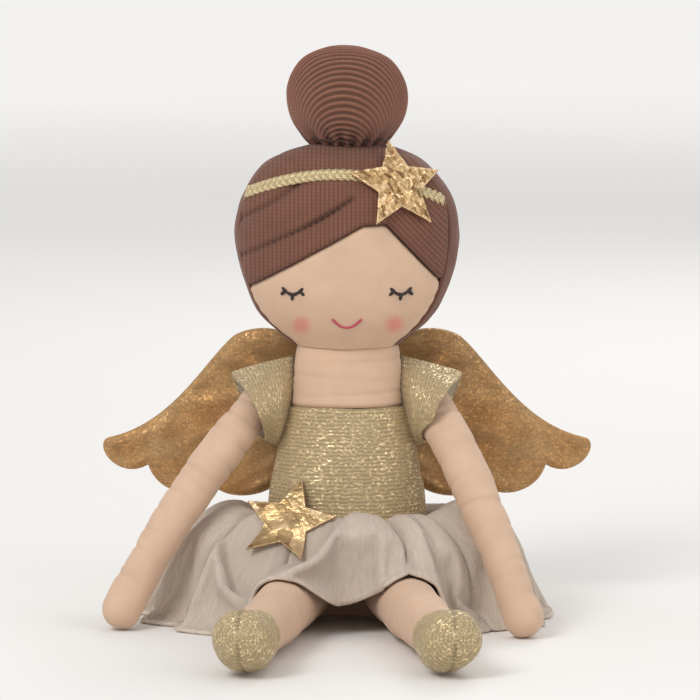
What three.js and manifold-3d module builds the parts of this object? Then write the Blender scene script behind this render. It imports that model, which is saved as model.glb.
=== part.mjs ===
// A seated plush angel: stuffed head, body and limbs, knitted hair with a gathered bun, a lurex dress with flutter
// sleeves and a gathered skirt, padded wings and foil stars. Millimetres, +Z up, the doll faces -Y, so its left is +X.
// The origin is the middle of the seat, on the surface that the doll sits on.
import * as THREE from "three";
import { mergeVertices } from "three/addons/utils/BufferGeometryUtils.js";
import Module from "manifold-3d";

const wasm = await Module();
wasm.setup();

// Cloth and clearances
const CLOTH = 1.2; // a cover and its pressed seam allowance
const GAP = 0.3; // between pieces that touch on the real doll
const FILL_GAP = 0.5; // between a cover and its stuffing
const SWING = 0.6; // round a piece that turns

// Body
const WAIST_HEIGHT = 30; // seat to the hem of the bodice
const BODICE_HEIGHT = 39;
const NECK_HEIGHT = 19; // neckline to the seam under the chin
const SEAT_WIDTH = 46;
const HIP_WIDTH = 57;
const WAIST_WIDTH = 53.5;
const NECKLINE_WIDTH = 39.5;
const NECK_WIDTH = 33;
const BODY_DEPTH = 0.68; // depth over width
const NECK_DOME_RADIUS = 20; // the stuffed end of the neck, on which the head tilts

// Head
const HEAD_WIDTH = 72.5;
const HEAD_HEIGHT = 68;
const HEAD_DEPTH = 52;
const HEAD_SEAM = 8; // how far in front of the middle the side seam runs
const PARTING_X = 9; // the hair parts to the doll's left
const PARTING_HEIGHT = 41; // above the chin seam
const PARTING_WIDTH = 7;
const TEMPLE_HEIGHT = 20.5; // where the hairline meets the side seam
const TEMPLE_X = 31.3;

// Bun
const BUN_WIDTH = 38.5;
const BUN_HEIGHT = 33;
const BUN_NECK_WIDTH = 21;
const BUN_SINK = 4; // how far its base lies below the top of the head
const TIE_DIAMETER = 1.4;

// Face embroidery
const THREAD_DIAMETER = 1;
const EYE_SPACING = 34.4;
const EYE_HEIGHT = 19.6; // above the chin seam
const EYE_WIDTH = 6.8;
const EYE_DROP = 2.3;
const LASH_LENGTH = 2;
const MOUTH_HEIGHT = 9.2;
const MOUTH_WIDTH = 9.6;
const MOUTH_DROP = 3;

// Trims
const BAND_WIDTH = 4;
const BAND_THICKNESS = 1;
const BAND_DROP = 11; // below the top of the head, at its middle
const BAND_FALL = 9; // from its middle to the side seam
const STAR_RADIUS = 16;
const STAR_INNER = 0.47; // inner corners over points
const STAR_THICKNESS = 1;
const HAIR_STAR_X = 15.6;
const HAIR_STAR_DROP = 15.3; // below the top of the head
const BELT_STAR_X = -19;
const BELT_STAR_DROP = 3.5; // from the waist seam down to where it leans from
const BELT_STAR_LEAN = 35; // degrees, its foot lies out on the skirt
const BELT_STAR_TURN = -8; // degrees, clockwise as it is seen

// Arms
const SHOULDER_HEIGHT = 72;
const ARM_LENGTH = 86; // shoulder to the middle of the hand
const ARM_WIDTH = 13.8;
const WRIST_WIDTH = 12.6;
const HAND_WIDTH = 13;
const ARM_BOW = 3; // how far the arm bows from a straight line
const RIGHT_ARM_HEADING = 35; // degrees, from straight out towards the front
const LEFT_ARM_HEADING = 58;

// Sleeves
const SLEEVE_HEIGHT = 28.5; // along the armhole
const SLEEVE_DEPTH = 19; // across the armhole
const SLEEVE_LENGTH = 19; // at the top of the shoulder
const SLEEVE_UNDERARM = 4;
const SLEEVE_FLARE = 7;
const SLEEVE_DROP = 2.2; // from the shoulder down to the middle of the armhole
const SLEEVE_CLOTH = 0.9;

// Legs
const HIP_SPACING = 29;
const HIP_FORWARD = 15; // in front of the middle of the seat
const LEG_LENGTH = 88; // hip to the seam of the slipper
const THIGH_WIDTH = 19.2;
const ANKLE_WIDTH = 16;
const SLIPPER_LENGTH = 28;
const SLIPPER_WIDTH = 18.6;
const LEG_SPLAY = 9; // degrees
const TOE_LIFT = 5;

// Skirt
const SKIRT_WIDTH = 130; // across the hem
const SKIRT_FRONT = 57; // hem in front of the middle of the seat
const SKIRT_BACK = 45;
const SKIRT_PUFF = 15; // rise of the gathers above the waist seam
const SKIRT_CLOTH = 0.9;
const SKIRT_FOLDS = 13;
const FOLD_DEPTH = 1.9;
const HEM_ROOM = 3; // beside the thighs, before the hem falls
const HEM_FALL = 11; // over which it falls

// Wings
const WING_SPAN = 164;
const WING_HEIGHT = 58; // the root arch above the lowest lobe
const WING_FOOT = 35; // the lowest lobe above the seat
const WING_ROOT = 5.5; // from the middle of the back to the hinge seam
const WING_SWEEP = 7; // degrees back from straight out
const WING_CLOTH = 0.8;
const WADDING = 1.8;
const WADDING_SHARE = 0.93; // the wadding stops short of the edge seam
const TAB_HEIGHT = 30; // the strip on the back of the bodice that the wings are sewn to
const TAB_WIDTH = 16;
const TAB_THICKNESS = 1;

// Heights above the seat that follow from the sizes
const NECKLINE_Z = WAIST_HEIGHT + BODICE_HEIGHT;
const CHIN_Z = NECKLINE_Z + NECK_HEIGHT;
const CROWN_Z = CHIN_Z + HEAD_HEIGHT;
const NECK_PIVOT_Z = CHIN_Z - Math.sqrt(NECK_DOME_RADIUS ** 2 - (NECK_WIDTH / 2) ** 2);
const HEAD_RATIO = HEAD_DEPTH / HEAD_WIDTH;
const WIDE = 400; // wider than the doll, for cutting blocks

const degrees = THREE.MathUtils.degToRad;

// Materials
const cloth = (color, roughness = 0.95, metalness = 0) =>
  new THREE.MeshStandardMaterial({ color, roughness, metalness });
const skin = cloth("#d9b9a0");
const hairKnit = cloth("#74493c");
const lurex = cloth("#a8946c", 0.6, 0.3);
const gauze = cloth("#b9ada0");
const lame = cloth("#8d6a43", 0.45, 0.6);
const foil = cloth("#d8b06c", 0.3, 0.9);
const braid = cloth("#dcc796", 0.5, 0.5);
const fibre = cloth("#f1eee8");
const blackThread = cloth("#2b2220", 0.7);
const pinkThread = cloth("#c8475d", 0.7);
const brownThread = cloth("#3a221b", 0.8);

// Solids from geometry

// A closed solid: shared corners merged, collapsed faces dropped, faces turned outwards.
function solid(geometry) {
  const bare = new THREE.BufferGeometry().setAttribute("position", geometry.getAttribute("position"));
  bare.setIndex(geometry.index);
  const merged = mergeVertices(bare, 1e-4);
  const corners = merged.index.array;
  const outwards = [];
  const inwards = [];
  for (let i = 0; i < corners.length; i += 3) {
    const [a, b, c] = corners.slice(i, i + 3);
    if (a === b || b === c || c === a) continue;
    outwards.push(a, b, c);
    inwards.push(a, c, b);
  }
  const vertProperties = merged.getAttribute("position").array;
  const body = (triangles) =>
    new wasm.Manifold(new wasm.Mesh({ numProp: 3, vertProperties, triVerts: new Uint32Array(triangles) }));
  const made = body(outwards);
  return made.volume() > 0 ? made : body(inwards);
}

// A solid's own surface as a three.js geometry.
function geometryOf(made) {
  const { vertProperties, triVerts } = made.getMesh();
  const geometry = new THREE.BufferGeometry();
  geometry.setAttribute("position", new THREE.BufferAttribute(new Float32Array(vertProperties), 3));
  geometry.setIndex(new THREE.BufferAttribute(new Uint32Array(triVerts), 1));
  geometry.computeVertexNormals();
  return geometry;
}

// A block between two corners.
function block([x0, y0, z0], [x1, y1, z1]) {
  const box = new THREE.BoxGeometry(x1 - x0, y1 - y0, z1 - z0);
  return solid(box.translate((x0 + x1) / 2, (y0 + y1) / 2, (z0 + z1) / 2));
}

// Everything between two heights.
const slab = (z0, z1) => block([-WIDE, -WIDE, z0], [WIDE, WIDE, z1]);

// A profile of [radius, height] points turned about +Z.
function turned(profile, sides) {
  const points = profile.map(([radius, height]) => new THREE.Vector2(radius, height));
  return new THREE.LatheGeometry(points, sides).rotateX(Math.PI / 2);
}

// A smooth outline through stations of [half width, height].
function smooth(stations, steps) {
  const curve = new THREE.SplineCurve(stations.map(([half, height]) => new THREE.Vector2(half, height)));
  return curve.getPoints(steps).map((p) => [Math.max(p.x, 0), p.y]);
}

// An outline that runs upwards, moved square to itself: inwards by a positive distance.
function inset(outline, distance) {
  return outline.map(([half, height], i) => {
    const before = outline[Math.max(i - 1, 0)];
    const after = outline[Math.min(i + 1, outline.length - 1)];
    const [across, up] = [after[0] - before[0], after[1] - before[1]];
    const length = Math.hypot(across, up);
    const onAxis = half === 0;
    return [
      onAxis ? 0 : Math.max(half - (distance * up) / length, 0),
      height + (onAxis ? Math.sign(across) * distance : (distance * across) / length),
    ];
  });
}

// The half width of an outline at a height.
function halfWidthAt(outline, height) {
  const above = Math.max(outline.findIndex((p) => p[1] >= height), 1);
  const [[h0, z0], [h1, z1]] = [outline[above - 1], outline[above]];
  return THREE.MathUtils.lerp(h0, h1, (height - z0) / (z1 - z0));
}

// A thin closed sheet on a surface point(u, v), with half its thickness on each side. It can close round in u.
function sheet(point, stepsU, stepsV, thickness, closed) {
  const columns = closed ? stepsU : stepsU + 1;
  const at = (i, j) => point(i / stepsU, j / stepsV);
  const positions = [];
  for (const side of [0.5, -0.5]) {
    for (let i = 0; i < columns; i++) {
      for (let j = 0; j <= stepsV; j++) {
        const [left, right] = closed ? [i - 1, i + 1] : [Math.max(i - 1, 0), Math.min(i + 1, stepsU)];
        const alongU = at(right, j).sub(at(left, j));
        const alongV = at(i, Math.min(j + 1, stepsV)).sub(at(i, Math.max(j - 1, 0)));
        const normal = alongU.cross(alongV).normalize();
        positions.push(...at(i, j).addScaledVector(normal, side * thickness).toArray());
      }
    }
  }
  const layer = columns * (stepsV + 1);
  const index = (i, j, side) => (i % columns) * (stepsV + 1) + j + side * layer;
  const faces = [];
  const quad = (a, b, c, d) => faces.push(a, b, c, a, c, d);
  for (let i = 0; i < stepsU; i++) {
    for (let j = 0; j < stepsV; j++) {
      quad(index(i, j, 0), index(i + 1, j, 0), index(i + 1, j + 1, 0), index(i, j + 1, 0));
      quad(index(i, j, 1), index(i, j + 1, 1), index(i + 1, j + 1, 1), index(i + 1, j, 1));
    }
    quad(index(i, 0, 0), index(i, 0, 1), index(i + 1, 0, 1), index(i + 1, 0, 0));
    quad(index(i, stepsV, 0), index(i + 1, stepsV, 0), index(i + 1, stepsV, 1), index(i, stepsV, 1));
  }
  if (!closed) {
    for (let j = 0; j < stepsV; j++) {
      quad(index(0, j, 0), index(0, j + 1, 0), index(0, j + 1, 1), index(0, j, 1));
      quad(index(stepsU, j, 0), index(stepsU, j, 1), index(stepsU, j + 1, 1), index(stepsU, j + 1, 0));
    }
  }
  const geometry = new THREE.BufferGeometry();
  geometry.setAttribute("position", new THREE.BufferAttribute(new Float32Array(positions), 3));
  geometry.setIndex(faces);
  return solid(geometry);
}

// A round thread along points.
function thread(points, diameter, steps) {
  const section = new THREE.Shape().absarc(0, 0, diameter / 2, 0, 2 * Math.PI);
  const extrudePath = points.length > 2 ? new THREE.CatmullRomCurve3(points) : new THREE.LineCurve3(...points);
  return solid(new THREE.ExtrudeGeometry(section, { extrudePath, steps, curveSegments: 3, bevelEnabled: false }));
}

// Moves a solid along a direction until it clears what carries it by the gap that touching pieces keep.
function restOn(made, carriers, direction) {
  const step = 0.1;
  for (let distance = 0; distance < WIDE; distance += step) {
    const there = made.translate(direction.clone().multiplyScalar(distance).toArray());
    if (carriers.every((carrier) => there.intersect(carrier).volume() === 0)) {
      return made.translate(direction.clone().multiplyScalar(distance + GAP).toArray());
    }
  }
  throw new Error("a piece never clears what carries it");
}

const doll = new THREE.Group();

// Adds a solid to the doll, or to a group of it, as a named piece.
function piece(name, made, material, parent = doll) {
  const mesh = new THREE.Mesh(geometryOf(made), material);
  mesh.name = name;
  parent.add(mesh);
}

// Body: the outline of half the front view, from the seat up to the chin
const bodySide = smooth(
  [
    [SEAT_WIDTH / 2, 0],
    [HIP_WIDTH / 2, WAIST_HEIGHT * 0.45],
    [WAIST_WIDTH / 2, WAIST_HEIGHT],
    [(WAIST_WIDTH * 0.42 + NECKLINE_WIDTH * 0.58) / 2, WAIST_HEIGHT + BODICE_HEIGHT * 0.6],
    [NECKLINE_WIDTH / 2, NECKLINE_Z],
    [NECK_WIDTH / 2, CHIN_Z],
  ],
  10,
);
const BODY_SIDES = 24;

// The body as a solid, grown by a distance, whose top and bottom can run on.
function bodySolid(grown, bottom, top) {
  const whole = inset(bodySide, -grown);
  const side = whole.filter(([, height]) => height > bottom && height < top);
  const [foot, neck] = [bottom, top].map((z) => THREE.MathUtils.clamp(z, whole[0][1], whole.at(-1)[1]));
  const profile = [[0, bottom], [halfWidthAt(whole, foot), bottom], ...side, [halfWidthAt(whole, neck), top], [0, top]];
  return solid(turned(profile, BODY_SIDES).scale(1, BODY_DEPTH, 1));
}

// Where the front of the body lies at a place, in y.
function bodyFront(x, z) {
  const half = halfWidthAt(bodySide, z);
  return -half * BODY_DEPTH * Math.sqrt(Math.max(1 - (x / half) ** 2, 0));
}

const hip = { x: HIP_SPACING / 2, y: -HIP_FORWARD, z: THIGH_WIDTH / 2 + GAP };

// The room that the thighs need to swing from straight ahead to straight down.
function thighRoom() {
  const radius = THIGH_WIDTH / 2 + SWING;
  const bend = solid(new THREE.CylinderGeometry(radius, radius, WIDE, 24).rotateZ(Math.PI / 2).translate(0, hip.y, hip.z));
  const ahead = block([-WIDE / 2, -WIDE, -WIDE], [WIDE / 2, hip.y, hip.z + radius]);
  const below = block([-WIDE / 2, -WIDE, -WIDE], [WIDE / 2, hip.y + radius, hip.z]);
  return bend.add(ahead).add(below);
}

// The domed end of the neck: a drum across the doll's depth, centred on the axis that the head tilts about.
function neckDrum(radius, halfDepth) {
  const drum = new THREE.CylinderGeometry(radius, radius, 2 * halfDepth, 40);
  return solid(drum.translate(0, 0, 0)).translate([0, 0, NECK_PIVOT_Z]);
}

function addBody() {
  const room = thighRoom();
  const shell = bodySolid(0, 0, CHIN_Z).subtract(bodySolid(-CLOTH, CLOTH, CHIN_Z + CLOTH));
  const cut = (z0, z1) => shell.intersect(slab(z0 + GAP / 2, z1 - GAP / 2));
  const overDome = slab(CHIN_Z - CLOTH, WIDE).subtract(neckDrum(NECK_DOME_RADIUS, WIDE / 2));
  piece("seat_panel", cut(-GAP, WAIST_HEIGHT).subtract(room), skin);
  piece("bodice", cut(WAIST_HEIGHT, NECKLINE_Z), lurex);
  piece("neck_panel", cut(NECKLINE_Z, CHIN_Z), skin);
  const inside = CLOTH + FILL_GAP;
  const fill = bodySolid(-inside, inside, NECK_PIVOT_Z + NECK_DOME_RADIUS);
  piece("body_stuffing", fill.subtract(room).subtract(overDome), fibre);
}

// Head: the outline of half the front view, above the chin seam
const headSide = smooth(
  [
    [NECK_WIDTH / 2, 0],
    [HEAD_WIDTH * 0.365, HEAD_HEIGHT * 0.125],
    [HEAD_WIDTH * 0.455, HEAD_HEIGHT * 0.285],
    [HEAD_WIDTH * 0.5, HEAD_HEIGHT * 0.53],
    [HEAD_WIDTH * 0.465, HEAD_HEIGHT * 0.735],
    [HEAD_WIDTH * 0.32, HEAD_HEIGHT * 0.9],
    [0, HEAD_HEIGHT],
  ],
  12,
);
const HEAD_SIDES = 28;

// The head as a solid, grown by a distance.
function headSolid(grown, sides = HEAD_SIDES) {
  const side = inset(headSide, -grown);
  return solid(turned([[0, side[0][1]], ...side], sides).scale(1, HEAD_RATIO, 1).translate(0, 0, CHIN_Z));
}

// A point on the front of the head, at a distance from its cloth.
function onFace(x, z, distance) {
  const half = halfWidthAt(headSide, z - CHIN_Z);
  const y = -half * HEAD_RATIO * Math.sqrt(Math.max(1 - (x / half) ** 2, 0));
  const slope = (halfWidthAt(headSide, z - CHIN_Z + 1) - halfWidthAt(headSide, z - CHIN_Z - 1)) / 2;
  const normal = new THREE.Vector3(x / half, y / half / HEAD_RATIO ** 2, -slope).normalize();
  return new THREE.Vector3(x, y, z).addScaledVector(normal, distance);
}

// The front of the head below the hairline, as a block cut along the hairline, raised or lowered by a shift.
function belowHairline(shift) {
  const slope = (PARTING_HEIGHT - TEMPLE_HEIGHT) / (PARTING_X - PARTING_WIDTH / 2 + TEMPLE_X);
  const steeper = (PARTING_HEIGHT - TEMPLE_HEIGHT) / (TEMPLE_X - PARTING_X - PARTING_WIDTH / 2);
  const beyond = HEAD_WIDTH - TEMPLE_X;
  const outline = new THREE.Shape([
    new THREE.Vector2(-HEAD_WIDTH, -WIDE),
    new THREE.Vector2(HEAD_WIDTH, -WIDE),
    new THREE.Vector2(HEAD_WIDTH, TEMPLE_HEIGHT - steeper * beyond + shift),
    new THREE.Vector2(PARTING_X + PARTING_WIDTH / 2, PARTING_HEIGHT + shift),
    new THREE.Vector2(PARTING_X - PARTING_WIDTH / 2, PARTING_HEIGHT + shift),
    new THREE.Vector2(-HEAD_WIDTH, TEMPLE_HEIGHT - slope * beyond + shift),
  ]);
  const prism = new THREE.ExtrudeGeometry(outline, { depth: WIDE, bevelEnabled: false });
  return solid(prism.rotateX(Math.PI / 2).translate(0, 0, CHIN_Z));
}

// The bun's outline, from its gathered neck up to its top
const bunSide = smooth(
  [
    [BUN_NECK_WIDTH / 2, 0],
    [BUN_NECK_WIDTH * 0.28 + BUN_WIDTH * 0.22, BUN_HEIGHT * 0.13],
    [BUN_WIDTH * 0.48, BUN_HEIGHT * 0.34],
    [BUN_WIDTH * 0.49, BUN_HEIGHT * 0.6],
    [BUN_WIDTH * 0.37, BUN_HEIGHT * 0.86],
    [BUN_WIDTH * 0.17, BUN_HEIGHT * 0.98],
    [0, BUN_HEIGHT],
  ],
  12,
);
const BUN_SIDES = 20;

function bunSolid(grown) {
  const side = inset(bunSide, -grown);
  return solid(turned([[0, side[0][1]], ...side], BUN_SIDES).translate(0, 0, CROWN_Z - BUN_SINK));
}

// An embroidered curve on the face, from end to end, that dips in its middle.
function stitchedArc(x, height, width, drop) {
  const across = [-0.5, -0.25, 0, 0.25, 0.5];
  const lift = GAP + THREAD_DIAMETER / 2;
  const points = across.map((t) => onFace(x + t * width, CHIN_Z + height + drop * (4 * t * t - 0.5), lift));
  return thread(points, THREAD_DIAMETER, 8);
}

// A closed eye: a dipping curve with three lashes under it.
function closedEye(x) {
  const lift = GAP + THREAD_DIAMETER / 2;
  const lashes = [
    [-0.34, -0.75],
    [0, -0.12],
    [0.34, 0.75],
  ];
  return lashes.reduce(
    (eye, [t, lean]) => {
      const from = [x + t * EYE_WIDTH, CHIN_Z + EYE_HEIGHT + EYE_DROP * (4 * t * t - 0.5)];
      const to = [from[0] + lean * LASH_LENGTH, from[1] - LASH_LENGTH * Math.sqrt(1 - lean ** 2)];
      return eye.add(thread([onFace(...from, lift), onFace(...to, lift)], THREAD_DIAMETER, 1));
    },
    stitchedArc(x, EYE_HEIGHT, EYE_WIDTH, EYE_DROP),
  );
}

// A flat five-pointed star in the XY plane, its back at z = 0, its first point along +Y.
function starSolid() {
  const corners = Array.from({ length: 10 }, (_, i) => {
    const radius = STAR_RADIUS * (i % 2 ? STAR_INNER : 1);
    const angle = Math.PI / 2 + (i * Math.PI) / 5;
    return new THREE.Vector2(radius * Math.cos(angle), radius * Math.sin(angle));
  });
  return new THREE.ExtrudeGeometry(new THREE.Shape(corners), { depth: STAR_THICKNESS, bevelEnabled: false });
}

// A star turned to face along a normal, with a roll in its own plane, its middle at a point.
function starAt(point, normal, roll) {
  const star = starSolid().rotateZ(roll);
  const up = new THREE.Vector3(0, 0, 1).projectOnPlane(normal).normalize();
  const across = up.clone().cross(normal);
  const frame = new THREE.Matrix4().makeBasis(across, up, normal).setPosition(point);
  return solid(star.applyMatrix4(frame));
}

function addHead() {
  const recess = neckDrum(NECK_DOME_RADIUS + GAP, (NECK_WIDTH / 2) * BODY_DEPTH + SWING);
  const outer = headSolid(0);
  const shell = outer.subtract(headSolid(-CLOTH)).subtract(recess);
  const inFront = block([-WIDE, -WIDE, -WIDE], [WIDE, -HEAD_SEAM - GAP / 2, WIDE]);
  const behind = block([-WIDE, -HEAD_SEAM + GAP / 2, -WIDE], [WIDE, WIDE, WIDE]);
  const front = shell.intersect(inFront);
  piece("face_panel", front.intersect(belowHairline(-GAP / 2)), skin);
  piece("hair_front", front.subtract(belowHairline(GAP / 2)), hairKnit);
  piece("hair_back", shell.intersect(behind), hairKnit);
  piece("head_stuffing", headSolid(-CLOTH - FILL_GAP, HEAD_SIDES - 8).subtract(recess), fibre);

  const bun = bunSolid(0).subtract(headSolid(GAP));
  const bunFill = bunSolid(-CLOTH - FILL_GAP);
  const opening = solid(
    new THREE.CylinderGeometry(BUN_NECK_WIDTH / 4, BUN_NECK_WIDTH / 4, BUN_HEIGHT / 2, 16)
      .rotateX(Math.PI / 2)
      .translate(0, 0, CROWN_Z),
  );
  piece("bun_cover", bun.subtract(bunSolid(-CLOTH).subtract(slab(-WIDE, CROWN_Z + CLOTH))).subtract(opening), hairKnit);
  piece("bun_stuffing", bunFill.subtract(slab(-WIDE, CROWN_Z + CLOTH + FILL_GAP)), fibre);
  const tieRadius = halfWidthAt(bunSide, BUN_SINK) + TIE_DIAMETER / 2 + GAP;
  const tie = new THREE.TorusGeometry(tieRadius, TIE_DIAMETER / 2, 6, BUN_SIDES);
  piece("bun_tie", solid(tie.translate(0, 0, CROWN_Z - TIE_DIAMETER / 2)), brownThread);

  const bandEnd = HEAD_WIDTH * 0.455;
  const bandHeight = (x) => CROWN_Z - BAND_DROP - BAND_FALL * (x / bandEnd) ** 2;
  const bandPoint = (u, v) => {
    const x = bandEnd * (2 * u - 1);
    return onFace(x, bandHeight(x) + BAND_WIDTH * (v - 0.5), 2 * GAP + BAND_THICKNESS / 2);
  };
  const band = sheet(bandPoint, 20, 2, BAND_THICKNESS, false);
  piece("headband", band, braid);

  const starZ = CROWN_Z - HAIR_STAR_DROP;
  const starPoint = onFace(HAIR_STAR_X, starZ, 0);
  const starNormal = onFace(HAIR_STAR_X, starZ, 1).sub(starPoint);
  piece("hair_star", restOn(starAt(starPoint, starNormal, 0), [outer, band], starNormal), foil);

  piece("left_eye", closedEye(EYE_SPACING / 2), blackThread);
  piece("right_eye", closedEye(-EYE_SPACING / 2), blackThread);
  piece("mouth", stitchedArc(0, MOUTH_HEIGHT, MOUTH_WIDTH, MOUTH_DROP), pinkThread);
}

// Limbs are turned along their own +Z and bowed a little along their own +X.
function limb(outline, sides, bow, length) {
  const geometry = turned(outline, sides);
  const position = geometry.getAttribute("position");
  for (let i = 0; i < position.count; i++) {
    const share = THREE.MathUtils.clamp(position.getZ(i) / length, 0, 1);
    position.setX(i, position.getX(i) + bow * 4 * share * (1 - share));
  }
  return solid(geometry);
}

// A round end of a limb, as [radius, height] points from the axis out, or from the rim back to the axis.
function roundEnd(radius, height, outwards) {
  const steps = [0, 1 / 3, 2 / 3, 1];
  const arc = steps.map((t) => [radius * Math.sin((t * Math.PI) / 2), radius * Math.cos((t * Math.PI) / 2)]);
  return outwards ? arc.map(([r, h]) => [r, height - h]) : arc.reverse().map(([r, h]) => [r, height + h]);
}

const LIMB_SIDES = 10;

const armOutline = [
  ...roundEnd(WRIST_WIDTH / 2, 0, true).slice(0, -1),
  ...smooth(
    [
      [WRIST_WIDTH / 2, 0],
      [ARM_WIDTH / 2, ARM_LENGTH * 0.35],
      [WRIST_WIDTH / 2, ARM_LENGTH * 0.82],
      [HAND_WIDTH / 2, ARM_LENGTH],
    ],
    6,
  ),
  ...roundEnd(HAND_WIDTH / 2, ARM_LENGTH, false).slice(1),
];

// Which way an arm points: out and forward by its heading, and down until the hand lies on the surface.
function armDirection(side, heading) {
  const fall = SHOULDER_HEIGHT - HAND_WIDTH / 2 - GAP;
  const reach = Math.sqrt(ARM_LENGTH ** 2 - fall ** 2);
  const out = reach * Math.cos(degrees(heading));
  const ahead = reach * Math.sin(degrees(heading));
  return new THREE.Vector3(side * out, -ahead, -fall).normalize();
}

// The group that holds an arm: its origin is the shoulder, and its +Z runs down the arm, with +X outwards and up.
function armFrame(side, heading) {
  const along = armDirection(side, heading);
  const bow = new THREE.Vector3(0, 0, 1).projectOnPlane(along).normalize();
  const group = new THREE.Group();
  const shoulderX = halfWidthAt(bodySide, SHOULDER_HEIGHT) + WRIST_WIDTH / 2 + GAP;
  group.position.set(side * shoulderX, 0, SHOULDER_HEIGHT);
  group.quaternion.setFromRotationMatrix(new THREE.Matrix4().makeBasis(bow, along.clone().cross(bow), along));
  group.updateMatrixWorld(true);
  return group;
}

// A flutter sleeve: a frill round the armhole, long over the shoulder and short under the arm.
function sleeveSolid(side) {
  const middle = SHOULDER_HEIGHT - SLEEVE_DROP;
  const surface = (u, v) => {
    const turn = 2 * Math.PI * u;
    const [up, ahead] = [Math.cos(turn), -Math.sin(turn)];
    const z = middle + (SLEEVE_HEIGHT / 2) * up;
    const y = (SLEEVE_DEPTH / 2) * ahead;
    const length = THREE.MathUtils.lerp(SLEEVE_UNDERARM, SLEEVE_LENGTH, 0.5 + 0.5 * up);
    const body = halfWidthAt(bodySide, z) + GAP + SLEEVE_CLOTH / 2;
    const x = body + length * v;
    return new THREE.Vector3(side * x, y + SLEEVE_FLARE * v * ahead, z - 0.3 * length * v * up);
  };
  return sheet(surface, 24, 3, SLEEVE_CLOTH, true);
}

function addArm(name, side, heading) {
  const frame = armFrame(side, heading);
  const made = (grown) => limb(inset(armOutline, -grown), LIMB_SIDES, ARM_BOW, ARM_LENGTH);
  const opening = solid(
    new THREE.CylinderGeometry(WRIST_WIDTH / 6, WRIST_WIDTH / 6, WRIST_WIDTH, 8).rotateX(Math.PI / 2),
  ).translate([0, 0, -WRIST_WIDTH / 2 - CLOTH]);
  piece(`${name}_arm_cover`, made(0).subtract(made(-CLOTH)).subtract(opening), skin, frame);
  piece(`${name}_arm_stuffing`, made(-CLOTH - FILL_GAP), fibre, frame);
  doll.add(frame);
  const placed = solid(geometryOf(made(SWING)).applyMatrix4(frame.matrixWorld));
  const sleeve = sleeveSolid(side).subtract(placed).subtract(bodySolid(GAP, 0, CHIN_Z));
  const largest = sleeve.decompose().reduce((a, b) => (a.volume() > b.volume() ? a : b));
  piece(`${name}_sleeve`, largest, lurex);
}

// Leg: the outline from the hip to the toe, with the slipper from its seam on
const TOE_END = LEG_LENGTH + SLIPPER_LENGTH;
const legOutline = [
  ...roundEnd(THIGH_WIDTH / 2, 0, true).slice(0, -1),
  ...smooth(
    [
      [THIGH_WIDTH / 2, 0],
      [THIGH_WIDTH * 0.485, LEG_LENGTH * 0.4],
      [ANKLE_WIDTH / 2, LEG_LENGTH],
      [SLIPPER_WIDTH / 2, LEG_LENGTH + SLIPPER_LENGTH * 0.45],
      [SLIPPER_WIDTH * 0.4, LEG_LENGTH + SLIPPER_LENGTH * 0.83],
      [0, TOE_END],
    ],
    15,
  ),
];

function addLeg(name, side) {
  const group = new THREE.Group();
  const sink = (SLIPPER_WIDTH - THIGH_WIDTH) / 2; // the toe lies on the same surface as the thigh
  const along = new THREE.Vector3(side * Math.sin(degrees(LEG_SPLAY)), -Math.cos(degrees(LEG_SPLAY)), 0);
  along.z = sink / LEG_LENGTH;
  along.normalize();
  const up = new THREE.Vector3(0, 0, 1).projectOnPlane(along).normalize();
  group.position.set(side * hip.x, hip.y, hip.z);
  group.quaternion.setFromRotationMatrix(new THREE.Matrix4().makeBasis(up, along.clone().cross(up), along));
  doll.add(group);

  const made = (grown) => {
    const geometry = turned(inset(legOutline, -grown), LIMB_SIDES);
    const position = geometry.getAttribute("position");
    for (let i = 0; i < position.count; i++) {
      const past = Math.max(position.getZ(i) - LEG_LENGTH, 0) / SLIPPER_LENGTH;
      position.setX(i, position.getX(i) + TOE_LIFT * past * past);
    }
    return solid(geometry);
  };
  const opening = solid(
    new THREE.CylinderGeometry(THIGH_WIDTH / 6, THIGH_WIDTH / 6, THIGH_WIDTH, 8).rotateX(Math.PI / 2),
  ).translate([0, 0, -THIGH_WIDTH / 2 - CLOTH]);
  const shell = made(0).subtract(made(-CLOTH)).subtract(opening);
  piece(`${name}_leg_cover`, shell.intersect(slab(-WIDE, LEG_LENGTH - GAP / 2)), skin, group);
  piece(`${name}_slipper`, shell.intersect(slab(LEG_LENGTH + GAP / 2, WIDE)), lurex, group);
  piece(`${name}_leg_stuffing`, made(-CLOTH - FILL_GAP), fibre, group);
}

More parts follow.
